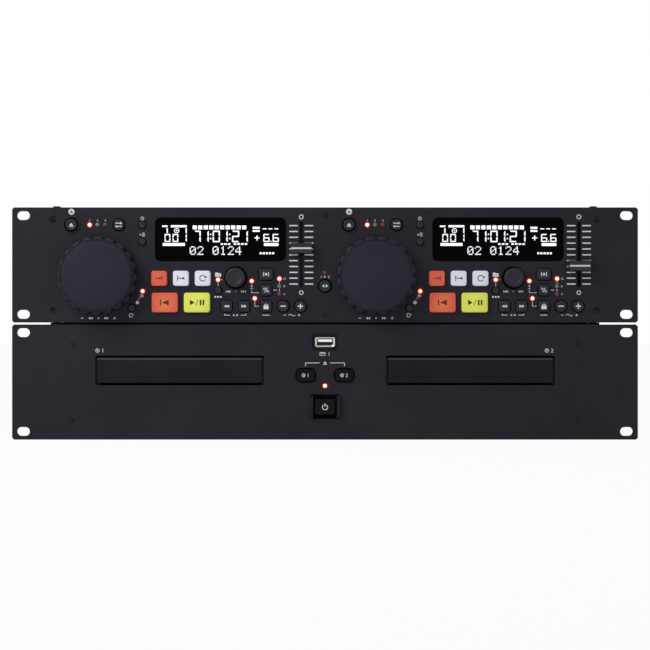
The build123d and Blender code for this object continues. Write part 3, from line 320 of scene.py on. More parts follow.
def finish(
    name, color, roughness, metallic=0.0, specular=0.4, grain=1500.0, spread=0.12, bump=0.05,
    handled=0.3, coat=0.0, glow=None, glow_strength=0.0,
):
    """A material built from the shared grain and handling groups."""
    if name in bpy.data.materials:
        return bpy.data.materials[name]
    material = bpy.data.materials.new(name)
    material.use_nodes = True
    tree = material.node_tree
    shader = tree.nodes["Principled BSDF"]
    speckle = tree.nodes.new("ShaderNodeGroup")
    speckle.name = "Surface speckle"
    speckle.node_tree = speckle_group()
    speckle.inputs["Color"].default_value = (*color, 1)
    speckle.inputs["Color Spread"].default_value = spread
    speckle.inputs["Roughness"].default_value = roughness
    speckle.inputs["Roughness Spread"].default_value = ROUGHNESS_SPREAD * roughness
    speckle.inputs["Grain Scale"].default_value = grain
    marks = tree.nodes.new("ShaderNodeGroup")
    marks.node_tree = handling_group()
    marks.inputs["Amount"].default_value = handled
    tree.links.new(speckle.outputs["Color"], marks.inputs["Color"])
    tree.links.new(speckle.outputs["Roughness"], marks.inputs["Roughness"])
    tree.links.new(marks.outputs["Color"], shader.inputs["Base Color"])
    tree.links.new(marks.outputs["Roughness"], shader.inputs["Roughness"])
    relief = tree.nodes.new("ShaderNodeBump")
    relief.inputs["Strength"].default_value = bump
    relief.inputs["Distance"].default_value = RELIEF_DEPTH * MM
    tree.links.new(speckle.outputs["Height"], relief.inputs["Height"])
    tree.links.new(relief.outputs["Normal"], shader.inputs["Normal"])
    shader.inputs["Metallic"].default_value = metallic
    shader.inputs["Specular IOR Level"].default_value = specular
    shader.inputs["Coat Weight"].default_value = coat
    if glow:
        shader.inputs["Emission Color"].default_value = (*glow, 1)
        shader.inputs["Emission Strength"].default_value = glow_strength
    return material


def lit_centre_group():
    """A colour that changes from the middle of a lit piece to its rim, over its own origin."""
    if "Lit centre" in bpy.data.node_groups:
        return bpy.data.node_groups["Lit centre"]
    tree = bpy.data.node_groups.new("Lit centre", "ShaderNodeTree")
    given, result = group_sockets(
        tree,
        [
            ("Centre Color", "NodeSocketColor", (1, 1, 1, 1)),
            ("Rim Color", "NodeSocketColor", (1, 0, 0, 1)),
            ("Radius", "NodeSocketFloat", 0.002),
            ("Low Shift", "NodeSocketFloat", 0.0),
        ],
        [("Color", "NodeSocketColor"), ("Alpha", "NodeSocketFloat")],
    )
    place = tree.nodes.new("ShaderNodeTexCoord")
    parts = tree.nodes.new("ShaderNodeSeparateXYZ")
    tree.links.new(place.outputs["Object"], parts.inputs["Vector"])
    across = parts.outputs["X"]
    up = math_node(tree, "ADD", parts.outputs["Z"], given.outputs["Low Shift"])
    squares = math_node(tree, "MULTIPLY_ADD", up, up, math_node(tree, "MULTIPLY", across, across))
    share = math_node(tree, "DIVIDE", math_node(tree, "SQRT", squares, 0.0), given.outputs["Radius"])
    fade = tree.nodes.new("ShaderNodeMapRange")
    fade.interpolation_type = "SMOOTHSTEP"
    tree.links.new(share, fade.inputs["Value"])
    blend = tree.nodes.new("ShaderNodeMix")
    blend.data_type = "RGBA"
    tree.links.new(fade.outputs["Result"], blend.inputs["Factor"])
    tree.links.new(given.outputs["Centre Color"], blend.inputs["A"])
    tree.links.new(given.outputs["Rim Color"], blend.inputs["B"])
    tree.links.new(blend.outputs["Result"], result.inputs["Color"])
    tree.links.new(math_node(tree, "SUBTRACT", 1.0, fade.outputs["Result"]), result.inputs["Alpha"])
    return tree


def lit_finish(name, centre, rim, radius, strength, roughness=0.35, low_shift=0.0, veil=False):
    """A lit plastic, brightest at its middle. A veil also fades out towards its rim."""
    material = finish(name, rim, roughness, spread=0.06, handled=0.1)
    tree = material.node_tree
    shader = tree.nodes["Principled BSDF"]
    if "Lit centre" in tree.nodes:
        return material
    glow = tree.nodes.new("ShaderNodeGroup")
    glow.name = "Lit centre"
    glow.node_tree = lit_centre_group()
    glow.inputs["Centre Color"].default_value = (*centre, 1)
    glow.inputs["Rim Color"].default_value = (*rim, 1)
    glow.inputs["Radius"].default_value = radius * MM
    glow.inputs["Low Shift"].default_value = low_shift * MM
    tree.links.new(glow.outputs["Color"], shader.inputs["Emission Color"])
    shader.inputs["Emission Strength"].default_value = strength
    if veil:
        tree.links.new(glow.outputs["Alpha"], shader.inputs["Alpha"])
        shader.inputs["Specular IOR Level"].default_value = 0.0
    else:
        tree.links.new(glow.outputs["Color"], tree.nodes["Surface speckle"].inputs["Color"])
    return material


def white_ink():
    # White print that also glows faintly: the glow is painted light, so the print reads bright.
    color = linear(214, 216, 224)
    return finish("White ink with painted glow", color, 0.5, glow=color, glow_strength=0.12)


def dark_ink():
    return finish("Dark ink", linear(24, 24, 28), 0.5)


def shaded_recess():
    """Near-black painted shade for opening walls, gaps round keys and the line over the player."""
    return finish("Painted shade", linear(4, 4, 5), 0.7, specular=0.02)


class FinishColors(bpy.types.PropertyGroup):
    """Colours that a user would change to repaint the player."""

    panel: bpy.props.FloatVectorProperty(
        name="Panel paint", description="Satin charcoal paint of both rack panels",
        subtype="COLOR", default=linear(38, 38, 46), min=0, max=1)
    case: bpy.props.FloatVectorProperty(
        name="Sheet paint", description="Black paint of the folded sheet cases",
        subtype="COLOR", default=linear(26, 26, 28), min=0, max=1)
    wheel: bpy.props.FloatVectorProperty(
        name="Wheel plastic", description="Slate plastic of the jog wheels",
        subtype="COLOR", default=linear(38, 39, 50), min=0, max=1)
    key: bpy.props.FloatVectorProperty(
        name="Key plastic", description="Black plastic of the small keys and knobs",
        subtype="COLOR", default=linear(38, 38, 48), min=0, max=1)
    tray: bpy.props.FloatVectorProperty(
        name="Tray plastic", description="Plastic of the disc trays and their doors",
        subtype="COLOR", default=linear(28, 28, 35), min=0, max=1)
    orange: bpy.props.FloatVectorProperty(
        name="Orange pads", description="Loop-in and cue pads",
        subtype="COLOR", default=linear(206, 84, 68), min=0, max=1)
    white: bpy.props.FloatVectorProperty(
        name="White pads", description="Loop-out and reloop pads",
        subtype="COLOR", default=linear(222, 224, 236), min=0, max=1)
    lime: bpy.props.FloatVectorProperty(
        name="Lime pad", description="Play pad",
        subtype="COLOR", default=linear(208, 214, 84), min=0, max=1)


class StudioSizes(bpy.types.PropertyGroup):
    """Camera and floor of the studio."""

    camera_distance: bpy.props.FloatProperty(
        name="Camera distance", description="From the panels' front to the camera",
        default=1.3, min=0.3, unit="LENGTH")
    camera_height: bpy.props.FloatProperty(
        name="Camera height", description="Above the surface the player stands on",
        default=0.0884, min=0.0, unit="LENGTH")
    lens: bpy.props.FloatProperty(
        name="Lens", description="Focal length in millimetres on a 36 mm sensor",
        default=93.4, min=20, max=300, unit="CAMERA")
    floor_size: bpy.props.FloatProperty(
        name="Floor size", description="Length of the square floor's side",
        default=12.0, min=2.0, unit="LENGTH")


def wear(node, *materials):
    """Gives a CAD node its materials. Its faces start on the first one."""
    obj = frame["nodes"][node]
    obj.data.materials.clear()
    for material in materials:
        obj.data.materials.append(material)
    for face in obj.data.polygons:
        face.material_index = 0
    return obj


def paint_where(node, finishes, chosen):
    """Gives a node several finishes. From a face's middle in millimetres and its normal, chosen tells
    the place of its finish in the list."""
    obj = wear(node, *finishes)
    for face in obj.data.polygons:
        face.material_index = chosen(*(value / MM for value in face.center), face.normal)
    return obj


def within(x, z, half):
    """Whether a place lies in a box round nought, given by its half width and half height."""
    return abs(x) < half[0] and abs(z) < half[1]


# ------------------------------------------------------------ flat shapes, in millimetres
# A shape is its points and its faces, both listed anticlockwise as seen from the front.


def polygon(points):
    return list(points), [tuple(range(len(points)))]


def rectangle(x, z, width, height):
    left, right = x - width / 2, x + width / 2
    low, high = z - height / 2, z + height / 2
    return polygon([(left, low), (right, low), (right, high), (left, high)])


def arc(x, z, radius, start, end, steps):
    """Points along an arc, from one angle in degrees to another."""
    angles = [math.radians(start + (end - start) * step / steps) for step in range(steps + 1)]
    return [(x + radius * math.cos(angle), z + radius * math.sin(angle)) for angle in angles]


def disc(x, z, radius, sides=32):
    return polygon(arc(x, z, radius, 0, 360, sides)[:-1])


def band(outer, inner, closed):
    """The strip between two rows of points, the outer one first."""
    count = len(outer)
    faces = []
    for here in range(count if closed else count - 1):
        there = (here + 1) % count
        faces.append((here, there, count + there, count + here))
    return list(outer) + list(inner), faces


def ring(x, z, radius, line, sides=40):
    return band(arc(x, z, radius, 0, 360, sides)[:-1], arc(x, z, radius - line, 0, 360, sides)[:-1], True)


def stroke(points, width):
    """A line of even width along straight runs, with mitred corners."""
    sharpest = 0.3
    corners = [Vector(point) for point in points]
    left, right = [], []
    for index, corner in enumerate(corners):
        ahead = corners[min(index + 1, len(corners) - 1)] - corner
        behind = corner - corners[max(index - 1, 0)]
        ahead = (ahead if ahead.length else behind).normalized()
        behind = (behind if behind.length else ahead).normalized()
        side = Vector((-(ahead + behind).y, (ahead + behind).x)).normalized()
        reach = width / 2 / max(side.dot(Vector((-ahead.y, ahead.x))), sharpest)
        left.append(tuple(corner + side * reach))
        right.append(tuple(corner - side * reach))
    return band(right, left, False)


def triangle(x, z, width, height, turn=0):
    """An arrow head that points right, or is turned by degrees."""
    cosine, sine = math.cos(math.radians(turn)), math.sin(math.radians(turn))
    corners = [(-width / 2, -height / 2), (width / 2, 0), (-width / 2, height / 2)]
    return polygon([(x + a * cosine - b * sine, z + a * sine + b * cosine) for a, b in corners])


def soft_outline(width, height, corner, x=0.0, z=0.0, flats=6):
    """Points of a rectangle with rounded corners."""
    points = []
    for quarter, (side_x, side_z) in enumerate(((1, 1), (-1, 1), (-1, -1), (1, -1))):
        middle_x = x + side_x * (width / 2 - corner)
        middle_z = z + side_z * (height / 2 - corner)
        points += arc(middle_x, middle_z, corner, 90 * quarter, 90 * quarter + 90, flats)
    return points


def soft_frame(x, z, width, height, corner, line):
    outer = soft_outline(width, height, corner, x, z)
    return band(outer, soft_outline(width - 2 * line, height - 2 * line, corner - line, x, z), True)


def moved(shapes, x, z, size=1.0):
    """The shapes made larger by size and put with their origin at (x, z)."""
    return [([(x + a * size, z + b * size) for a, b in points], faces) for points, faces in shapes]


def number(text, x, z, height):
    """Plain digits in the built-in font, centred on (x, z)."""
    curve = bpy.data.curves.new("digits", "FONT")
    curve.body = text
    curve.resolution_u = 3
    holder = bpy.data.objects.new("digits", curve)
    mesh = bpy.data.meshes.new_from_object(holder)
    places, merged, points = {}, [], []
    for vertex in mesh.vertices:
        place = (round(vertex.co.x, 4), round(vertex.co.y, 4))
        if place not in places:
            places[place] = len(points)
            points.append(place)
        merged.append(places[place])
    faces = [tuple(merged[index] for index in face.vertices) for face in mesh.polygons]
    faces = [face for face in faces if len(set(face)) == len(face)]
    bpy.data.objects.remove(holder)
    bpy.data.curves.remove(curve)
    bpy.data.meshes.remove(mesh)
    low = [min(point[axis] for point in points) for axis in (0, 1)]
    high = [max(point[axis] for point in points) for axis in (0, 1)]
    scale = height / (high[1] - low[1])
    centre = [(a + b) / 2 for a, b in zip(low, high)]
    return [(x + (a - centre[0]) * scale, z + (b - centre[1]) * scale) for a, b in points], faces


# ------------------------------------------------------------ signs, about 1 mm tall round their origin


def arrow_pair(turn):
    """Two arrow heads in a row, for winding or searching."""
    shift = math.cos(math.radians(turn)) * 0.42
    return [triangle(-shift, 0, 0.84, 1, turn), triangle(shift, 0, 0.84, 1, turn)]


def plus_sign():
    return [rectangle(0, 0, 1, 0.22), rectangle(0, 0.305, 0.22, 0.39), rectangle(0, -0.305, 0.22, 0.39)]


def minus_sign():
    return [rectangle(0, 0, 1, 0.22)]


def eject_sign():
    return [triangle(0, 0.14, 0.66, 1.1, 90), rectangle(0, -0.42, 1.1, 0.2)]


def clock_sign():
    return [ring(0, 0, 0.55, 0.12), stroke([(0, 0.36), (0, 0), (0.26, -0.14)], 0.12)]


def list_sign():
    """An arrow head beside three lines, for the play mode."""
    lines = [rectangle(0.35, level, 0.8, 0.16) for level in (0.42, 0, -0.42)]
    return [triangle(-0.45, 0, 0.42, 0.6), *lines]


def folder_sign():
    outline = [(-0.7, -0.5), (0.7, -0.5), (0.7, 0.32), (0.05, 0.32), (-0.1, 0.5), (-0.6, 0.5), (-0.7, 0.38)]
    return [polygon(outline)]


def percent_sign():
    slash = stroke([(-0.32, -0.5), (0.32, 0.5)], 0.13)
    return [slash, ring(-0.36, 0.27, 0.24, 0.11, 20), ring(0.36, -0.27, 0.24, 0.11, 20)]


def padlock_sign():
    bow_outer = arc(0, 0.12, 0.34, 0, 180, 14)
    bow_inner = arc(0, 0.12, 0.21, 0, 180, 14)
    body = polygon(soft_outline(0.92, 0.66, 0.06, 0, -0.22, 3))
    return [band(bow_outer, bow_inner, False), body]


def tap_sign():
    """A finger's dot between two arcs."""
    sides = [band(arc(0, 0, 0.52, a, a + 90, 10), arc(0, 0, 0.4, a, a + 90, 10), False) for a in (-45, 135)]
    return [disc(0, 0, 0.2, 20), *sides]


def turn_sign():
    """A circular arrow, for repeating."""
    bow = band(arc(0, 0, 0.5, 40, 330, 26), arc(0, 0, 0.36, 40, 330, 26), False)
    return [bow, triangle(0.46, 0.22, 0.34, 0.46, 110)]


def swap_sign():
    """Two opposite arrows, for choosing a source."""
    return [
        rectangle(-0.14, 0.28, 0.9, 0.14), triangle(0.46, 0.28, 0.34, 0.46),
        rectangle(0.14, -0.28, 0.9, 0.14), triangle(-0.46, -0.28, 0.34, 0.46, 180),
    ]


def relay_sign():
    return [triangle(-0.42, 0, 0.5, 0.76, 180), triangle(0.42, 0, 0.5, 0.76)]


def power_sign():
    bow = band(arc(0, -0.06, 0.46, 125, 415, 26), arc(0, -0.06, 0.34, 125, 415, 26), False)
    return [bow, rectangle(0, 0.28, 0.12, 0.5)]


def skip_signs(width):
    """Track back and track on, width apart, with a dot between."""
    shapes = [rectangle(-width / 2, 0, 0.16, 1), rectangle(width / 2, 0, 0.16, 1), disc(0, 0, 0.2, 16)]
    shapes += moved(arrow_pair(180), 1.05 - width / 2, 0)
    return shapes + moved(arrow_pair(0), width / 2 - 1.05, 0)


# ------------------------------------------------------------ display characters

bars_of_digit = {
    "0": "abcdef", "1": "bc", "2": "abged", "6": "afgedc", "7": "abc",
}
dots_of_digit = {
    "0": (".###.", "#...#", "#..##", "#.#.#", "##..#", "#...#", ".###."),
    "1": ("..#..", ".##..", "..#..", "..#..", "..#..", "..#..", ".###."),
    "2": (".###.", "#...#", "....#", "...#.", "..#..", ".#...", "#####"),
    "4": ("...#.", "..##.", ".#.#.", "#..#.", "#####", "...#.", "...#."),
}


def bar_digit(digit, right, low, high, width, bar):
    """A digit of seven bars with mitred ends, named a to g clockwise from the top, g in the middle."""
    left, level = right - width, (low + high) / 2
    gap, half = 0.12, bar / 2
    shapes = {
        "a": [
            (left + gap, high), (left + gap + bar, high - bar),
            (right - gap - bar, high - bar), (right - gap, high),
        ],
        "b": [
            (right, level + gap), (right, high - gap),
            (right - bar, high - gap - bar), (right - bar, level + gap + half),
        ],
        "c": [
            (right, low + gap), (right, level - gap),
            (right - bar, level - gap - half), (right - bar, low + gap + bar),
        ],
        "d": [
            (left + gap, low), (right - gap, low),
            (right - gap - bar, low + bar), (left + gap + bar, low + bar),
        ],
        "e": [
            (left, low + gap), (left + bar, low + gap + bar),
            (left + bar, level - gap - half), (left, level - gap),
        ],
        "f": [
            (left, level + gap), (left + bar, level + gap + half),
            (left + bar, high - gap - bar), (left, high - gap),
        ],
        "g": [
            (left + gap, level), (left + gap + half, level - half), (right - gap - half, level - half),
            (right - gap, level), (right - gap - half, level + half), (left + gap + half, level + half),
        ],
    }
    return [polygon(shapes[name]) for name in bars_of_digit[digit]]


def dot_digit(digit, left, low, pitch, dot):
    """A digit of square dots, five across and seven up."""
    shapes = []
    for row, line in enumerate(reversed(dots_of_digit[digit])):
        for column, mark in enumerate(line):
            if mark == "#":
                shapes.append(rectangle(left + pitch * (column + 0.5), low + pitch * (row + 0.5), dot, dot))
    return shapes


# ------------------------------------------------------------ pieces


def plate(shapes, back, front):
    """Thin closed plates with these flat shapes, between two heights in front of the panel."""
    points, faces = [], []
    for corners, panes in shapes:
        start, count = len(points), len(corners)
        points += [(x * MM, -front * MM, z * MM) for x, z in corners]
        points += [(x * MM, -back * MM, z * MM) for x, z in corners]
        edges = set()
        for pane in panes:
            faces.append(tuple(start + index for index in pane))
            faces.append(tuple(start + count + index for index in reversed(pane)))
            edges.update(zip(pane, pane[1:] + pane[:1]))
        for here, there in sorted(edges):
            if (there, here) not in edges:
                faces.append((start + there, start + here, start + count + here, start + count + there))
    return points, faces


def stacked(layers):
    """A closed mesh through outlines of equal count, listed with their heights from back to front."""
    count = len(layers[0][0])
    points = [(x * MM, -height * MM, z * MM) for outline, height in layers for x, z in outline]
    faces = [tuple(reversed(range(count)))]
    for low in range(0, len(points) - count, count):
        for here in range(count):
            there = (here + 1) % count
            faces.append((low + here, low + there, low + count + there, low + count + here))
    faces.append(tuple(range(len(points) - count, len(points))))
    return points, faces


def add_piece(name, mesh_parts, origin, material, body, smooth=False):
    """Puts a closed mesh with its own origin in the scene. It rides on a body."""
    mesh = bpy.data.meshes.new(name)
    mesh.from_pydata(mesh_parts[0], [], mesh_parts[1])
    mesh.materials.append(material)
    if smooth:
        mesh.shade_smooth()
        mesh.set_sharp_from_angle(angle=math.radians(SHARP_ANGLE))
    piece = bpy.data.objects.new(name, mesh)
    piece.location = origin
    bpy.context.scene.collection.objects.link(piece)
    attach(piece, body)
    return piece


def ink(name, shapes, origin, level, material, body="control_unit"):
    """Printed shapes on a surface that lies level millimetres in front of the panel."""
    return add_piece(name, plate(shapes, level - INK_SUNK, level + INK_THICKNESS), origin, material, body)


# ------------------------------------------------------------ the steps

# A cap: the gap round it, its edge's softness, its corner (None where it is round) and its dish
KeyStyle = namedtuple("KeyStyle", "gap soft corner dish")
round_small = KeyStyle(0.5, 0.6, None, 0.15)
square_small = KeyStyle(0.6, 1.0, 1.5, 0.0)
pad_style = KeyStyle(0.35, 0.9, 2.0, 0.0)
key_styles = {
    "eject": KeyStyle(0.8, 0.8, None, 0.35),
    "source": KeyStyle(0.8, 0.7, None, 0.15),
    "time": round_small,
    "play_mode": round_small,
    "jog_mode": round_small,
    "folder": round_small,
    "bend_minus": KeyStyle(0.7, 0.8, None, 0.3),
    "bend_plus": KeyStyle(0.7, 0.8, None, 0.3),
    "relay": KeyStyle(0.9, 0.8, None, 0.25),
    "tap": square_small,
    "pitch_range": square_small,
    "key_lock": square_small,
    "search_back": square_small,
    "search_forward": square_small,
    "loop_in": pad_style,
    "loop_out": pad_style,
    "reloop": pad_style,
    "cue": pad_style,
    "play": pad_style,
    "open": KeyStyle(0.9, 0.8, 3.0, 0.0),
    "power": KeyStyle(0.4, 0.8, 1.0, 0.0),
}


def key_kind(node):
    """The kind of key a node is, or None where it isn't a key."""
    kind = node.split("_button")[0]
    return kind if "_button" in node and kind in key_styles else None


def rounded_steps(top, soft, steps=4):
    """Insets and heights that turn a wall into a level top over a soft edge."""
    turns = [math.pi / 2 * step / steps for step in range(steps + 1)]
    return [(soft * (1 - math.cos(turn)), top - soft + soft * math.sin(turn)) for turn in turns]


def key_shape(node, style):
    """A key's stem, flange and soft-edged cap, over its own middle."""
    low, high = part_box(node)
    reach = 2 * (style.gap + FLANGE_LIP)
    width, height = (high[0] - low[0]) / MM - reach, (high[2] - low[2]) / MM - reach
    top = front_level(node)

    def outline(inset):
        if style.corner is None:
            return arc(0, 0, width / 2 - inset, 0, 360, ROUND_KEY_SIDES)[:-1]
        corner = max(style.corner - inset, 0.3)
        return soft_outline(width - 2 * inset, height - 2 * inset, corner)

    stem = arc(0, 0, STEM_RADIUS, 0, 360, ROUND_KEY_SIDES)[:-1]
    if style.corner is not None:
        stem = soft_outline(2 * STEM_RADIUS, 2 * STEM_RADIUS, STEM_CORNER)
    flange = outline(-reach / 2)
    layers = [(stem, back_level(node)), (stem, FLANGE_BACK), (flange, FLANGE_BACK)]
    layers += [(flange, FLANGE_FRONT), (outline(0), FLANGE_FRONT)]
    layers += [(outline(inset), level) for inset, level in rounded_steps(top, style.soft)]
    if style.dish:
        layers.append((outline(style.soft + DISH_RIM), top))
        layers.append((outline(style.soft + DISH_FLOOR), top - style.dish))
    return stacked(layers)


def grip_outline(inset, phase):
    """The jog wheel's scalloped outline, moved in by inset: round lobes with narrow notches between."""
    points = []
    for step in range(GRIP_LOBES * POINTS_PER_LOBE):
        turn = step * 360 / (GRIP_LOBES * POINTS_PER_LOBE)
        pitch = 360 / GRIP_LOBES
        off_lobe = abs((turn + pitch / 2) % pitch - pitch / 2)
        share = min(max((LOBE_FOOT - off_lobe) / (LOBE_FOOT - LOBE_TOP), 0), 1)
        rise = share * share * (3 - 2 * share)
        radius = WHEEL_BODY + (WHEEL_LOBE - WHEEL_BODY) * rise - inset
        angle = math.radians(turn + phase)
        points.append((radius * math.cos(angle), radius * math.sin(angle)))
    return points


def wheel_shape(phase, top, shaft_end):
    """A jog wheel as one closed turned shape: shaft, scalloped skirt, disc, groove and top."""
    count = GRIP_LOBES * POINTS_PER_LOBE

    def circle(radius):
        return arc(0, 0, radius, phase, phase + 360, count)[:-1]

    layers = [(circle(SHAFT_RADIUS), shaft_end), (circle(SHAFT_RADIUS), WHEEL_GAP)]
    layers.append((grip_outline(0, phase), WHEEL_GAP))
    layers += [(grip_outline(inset, phase), level) for inset, level in rounded_steps(SKIRT_TOP, SKIRT_SOFT)]
    layers.append((circle(WHEEL_DISC), SKIRT_TOP))
    disc_edge = rounded_steps(top - DISC_EDGE_DROP, DISC_SOFT)
    layers += [(circle(WHEEL_DISC - inset), level) for inset, level in disc_edge]
    layers += [(circle(radius), top - drop) for radius, drop in wheel_groove]
    return stacked(layers)


def knob_shape(top, shaft_end):
    """A rotary knob as one closed turned shape, with a dished top."""

    def circle(radius):
        return arc(0, 0, radius, 0, 360, KNOB_SIDES)[:-1]

    layers = [(circle(SHAFT_RADIUS), shaft_end), (circle(SHAFT_RADIUS), KNOB_BACK)]
    layers.append((circle(KNOB_RADIUS), KNOB_BACK))
    layers += [(circle(KNOB_RADIUS - inset), level) for inset, level in rounded_steps(top, KNOB_SOFT)]
    layers += [(circle(radius), top - drop) for radius, drop in knob_dish]
    return stacked(layers)


class PLAYER_OT_paint_cases(bpy.types.Operator):
    """Paints the panels and cases, and gives loaders, boards, sockets and screws their finishes"""

    bl_idname = "player.paint_cases"
    bl_label = "Paint panels and cases"

    def execute(self, context):
        colors = context.scene.player_colors
        panel = finish("Panel paint", colors.panel, 0.42, specular=0.1, grain=2600, bump=0.08)
        case = finish("Sheet paint", colors.case, 0.5, specular=0.15, grain=1800)
        screw = finish("Black screws", linear(29, 28, 30), 0.3, metallic=0.85)
        for node, material, slot in (
            ("player_base", case, "case_steel"),
            ("control_chassis", case, "case_steel"),
            ("control_cover", case, "case_steel"),
            ("player_screws", screw, "black_screw"),
            ("control_screws", screw, "black_screw"),
        ):
            wear(node, material)
        shade = shaded_recess()
        # The cover's front hem, seen in the line between the two units, wears near-black painted shade.
        hem_back = panel_front / MM + HEM_DEPTH
        hem_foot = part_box("player_cover")[1][2] / MM - HEM_HEIGHT

        def cover_part(x, y, z, normal):
            return 1 if y < hem_back and z > hem_foot else 0

        paint_where("player_cover", (case, shade), cover_part)
        self.finish_faceplates(panel, shade)
        self.finish_insides()
        return {"FINISHED"}

    def finish_faceplates(self, panel, shade):
        """Paints the panels, with painted shade in the openings' walls, the port's recess and power frame.
        """
        # The port's recess is painted dark grey: painted shade.
        port = finish("Port recess shade", linear(20, 20, 24), 0.5, specular=0.1)
        rail = finish("Power rails", linear(26, 26, 32), 0.3, specular=0.15)
        front = panel_front / MM
        edge_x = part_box("player_base")[1][0] / MM
        usb_z = mounts["usb_port"]["pos_m"][2] / MM
        power_z = middle("power_button")[2] / MM

        # The walls of the openings inside the case wear near-black painted shade.
        def is_wall(x, y, z, normal, panel_mid):
            inside = within(x, z - panel_mid / MM, (edge_x, OPENINGS_HALF_HEIGHT))
            return inside and abs(normal.y) < 0.5 and OPENING_WALL[0] < y - front < OPENING_WALL[1]

        def control_part(x, y, z, normal):
            return 1 if is_wall(x, y, z, normal, control_mid) else 0

        def player_part(x, y, z, normal):
            # The power key's frame wears near-black painted shade, the rails their own dark paint; the
            # port's recess is painted shade too.
            if within(x, z - power_z, POWER_FRAME_HALF) and y < front - POWER_FRAME_FROM:
                return 3 if y < front - POWER_RAIL_FROM else 1
            in_recess = PORT_RECESS_FLOOR[0] < y - front < PORT_RECESS_FLOOR[1]
            if within(x, z - usb_z, PORT_RECESS_HALF) and in_recess:
                return 2
            return 1 if is_wall(x, y, z, normal, player_mid) else 0

        paint_where("control_faceplate", (panel, shade), control_part)
        paint_where("player_faceplate", (panel, shade, port, rail), player_part)

    def finish_insides(self):
        """Gives the boards, sockets, pins and loaders their finishes. Inside the port's shell is painted
        shade, and the port's white tongue has a painted glow.
        """
        board = finish("Circuit board", linear(20, 84, 46), 0.35, grain=300, coat=0.3)
        dark_board = finish("Dark circuit board", linear(6, 9, 8), 0.5, specular=0.05, grain=300)
        socket = finish("Socket plastic", linear(24, 24, 26), 0.45)
        steel = finish("Bright steel", linear(222, 221, 218), 0.25, metallic=0.7, spread=0.05)
        # The port's tongue is white plastic with a painted glow, so it shows bright inside the port.
        tongue_glow = linear(240, 240, 244)
        tongue = finish("Glowing port tongue", linear(244, 244, 246), 0.4, glow=tongue_glow, glow_strength=0.5)
        # Inside the port's shell the steel is painted dull grey: painted shade.
        hollow = finish("Port hollow shade", linear(58, 56, 56), 0.45)
        loader = finish("Loader plastic", linear(46, 46, 50), 0.55)
        rubber = finish("Turntable rubber", linear(22, 22, 22), 0.7)
        front = panel_front / MM
        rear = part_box("player_base")[1][1] / MM
        usb_z = mounts["usb_port"]["pos_m"][2] / MM
        inlet_x, inlet_z = (mounts["mains_inlet"]["pos_m"][axis] / MM for axis in (0, 2))
        sockets_front, pins_front, jacks_front = rear - 20, rear - 13, rear + 1
        port_back, tongue_back = front + 16, front + 11
        jacks_left = 40
        board_front, board_back = front + 13.9, front + 20

        def main_board_part(x, y, z, normal):
            if y > sockets_front:
                is_pin = within(x - inlet_x, z - inlet_z, INLET_PINS_HALF) and y > pins_front
                is_jack = x > jacks_left and y > jacks_front
                return 2 if is_pin or is_jack else 1
            # The port's tongue gets its painted glow, the inside of its shell painted shade.
            if y < port_back and abs(x) < PORT_HALF_WIDTH and z > usb_z - PORT_DROP:
                at_tongue = TONGUE_RISE[0] < z - usb_z < TONGUE_RISE[1] and y < tongue_back
                if at_tongue and abs(x) < TONGUE_HALF_WIDTH:
                    return 3
                return 4 if within(x, z - usb_z, PORT_HOLLOW_HALF) else 2
            return 0

        def control_board_part(x, y, z, normal):
            return 0 if board_front < y < board_back else 1

        disc_x = [middle(f"disc_tray_{deck}")[0] / MM for deck in (1, 2)]
        disc_y = front + DISC_CENTRE_DEPTH

        def loader_part(x, y, z, normal):
            off_spindle = min(math.hypot(x - centre, y - disc_y) for centre in disc_x)
            return 1 if off_spindle < TURNTABLE_REACH else 0

        main_finishes = (board, socket, steel, tongue, hollow)
        paint_where("main_board", main_finishes, main_board_part)
        paint_where("control_board", (dark_board, socket), control_board_part)
        paint_where("disc_loaders", (loader, rubber), loader_part)


class PLAYER_OT_dress_trays(bpy.types.Operator):
    """Gives the disc trays, the display windows and the pitch faders their plastics, and the doors' bevel
    a painted highlight
    """

    bl_idname = "player.dress_trays"
    bl_label = "Dress trays, windows and faders"

    def execute(self, context):
        colors = context.scene.player_colors
        tray = finish("Tray plastic", linear(30, 30, 33), 0.45)
        door = finish("Tray door", colors.tray, 0.4, specular=0.08, grain=2600)
        # The door's upward-facing chamfer is painted lighter than the door: a painted highlight.
        bevel = finish("Door bevel highlight", linear(64, 64, 75), 0.4, grain=2600)
        window = finish("Smoked window", linear(3, 3, 4), 0.06, specular=0.02, bump=0.0, handled=0.03)
        cap = finish("Fader cap", linear(22, 22, 26), 0.4)
        door_back = panel_front / MM + DOOR_DEPTH

        # Upward-facing chamfer faces of the door get the painted highlight.
        def tray_part(x, y, z, normal):
            if y > door_back:
                return 0
            return 2 if normal.y < -0.3 and normal.z > 0.3 else 1

        for deck in (1, 2):
            paint_where(f"disc_tray_{deck}", (tray, door, bevel), tray_part)
            fader = f"pitch_fader_{deck}"
            wear(fader, cap)
            low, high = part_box(fader)
            width = (high[0] - low[0]) / MM
            line = [rectangle(0, 0, width - 0.6, 1.2)]
            level = front_level(fader) - FADER_LINE_DROP
            ink(f"fader_line_{deck}", line, own_origin(fader), level, white_ink(), fader)
        wear("display_windows", window)
        return {"FINISHED"}


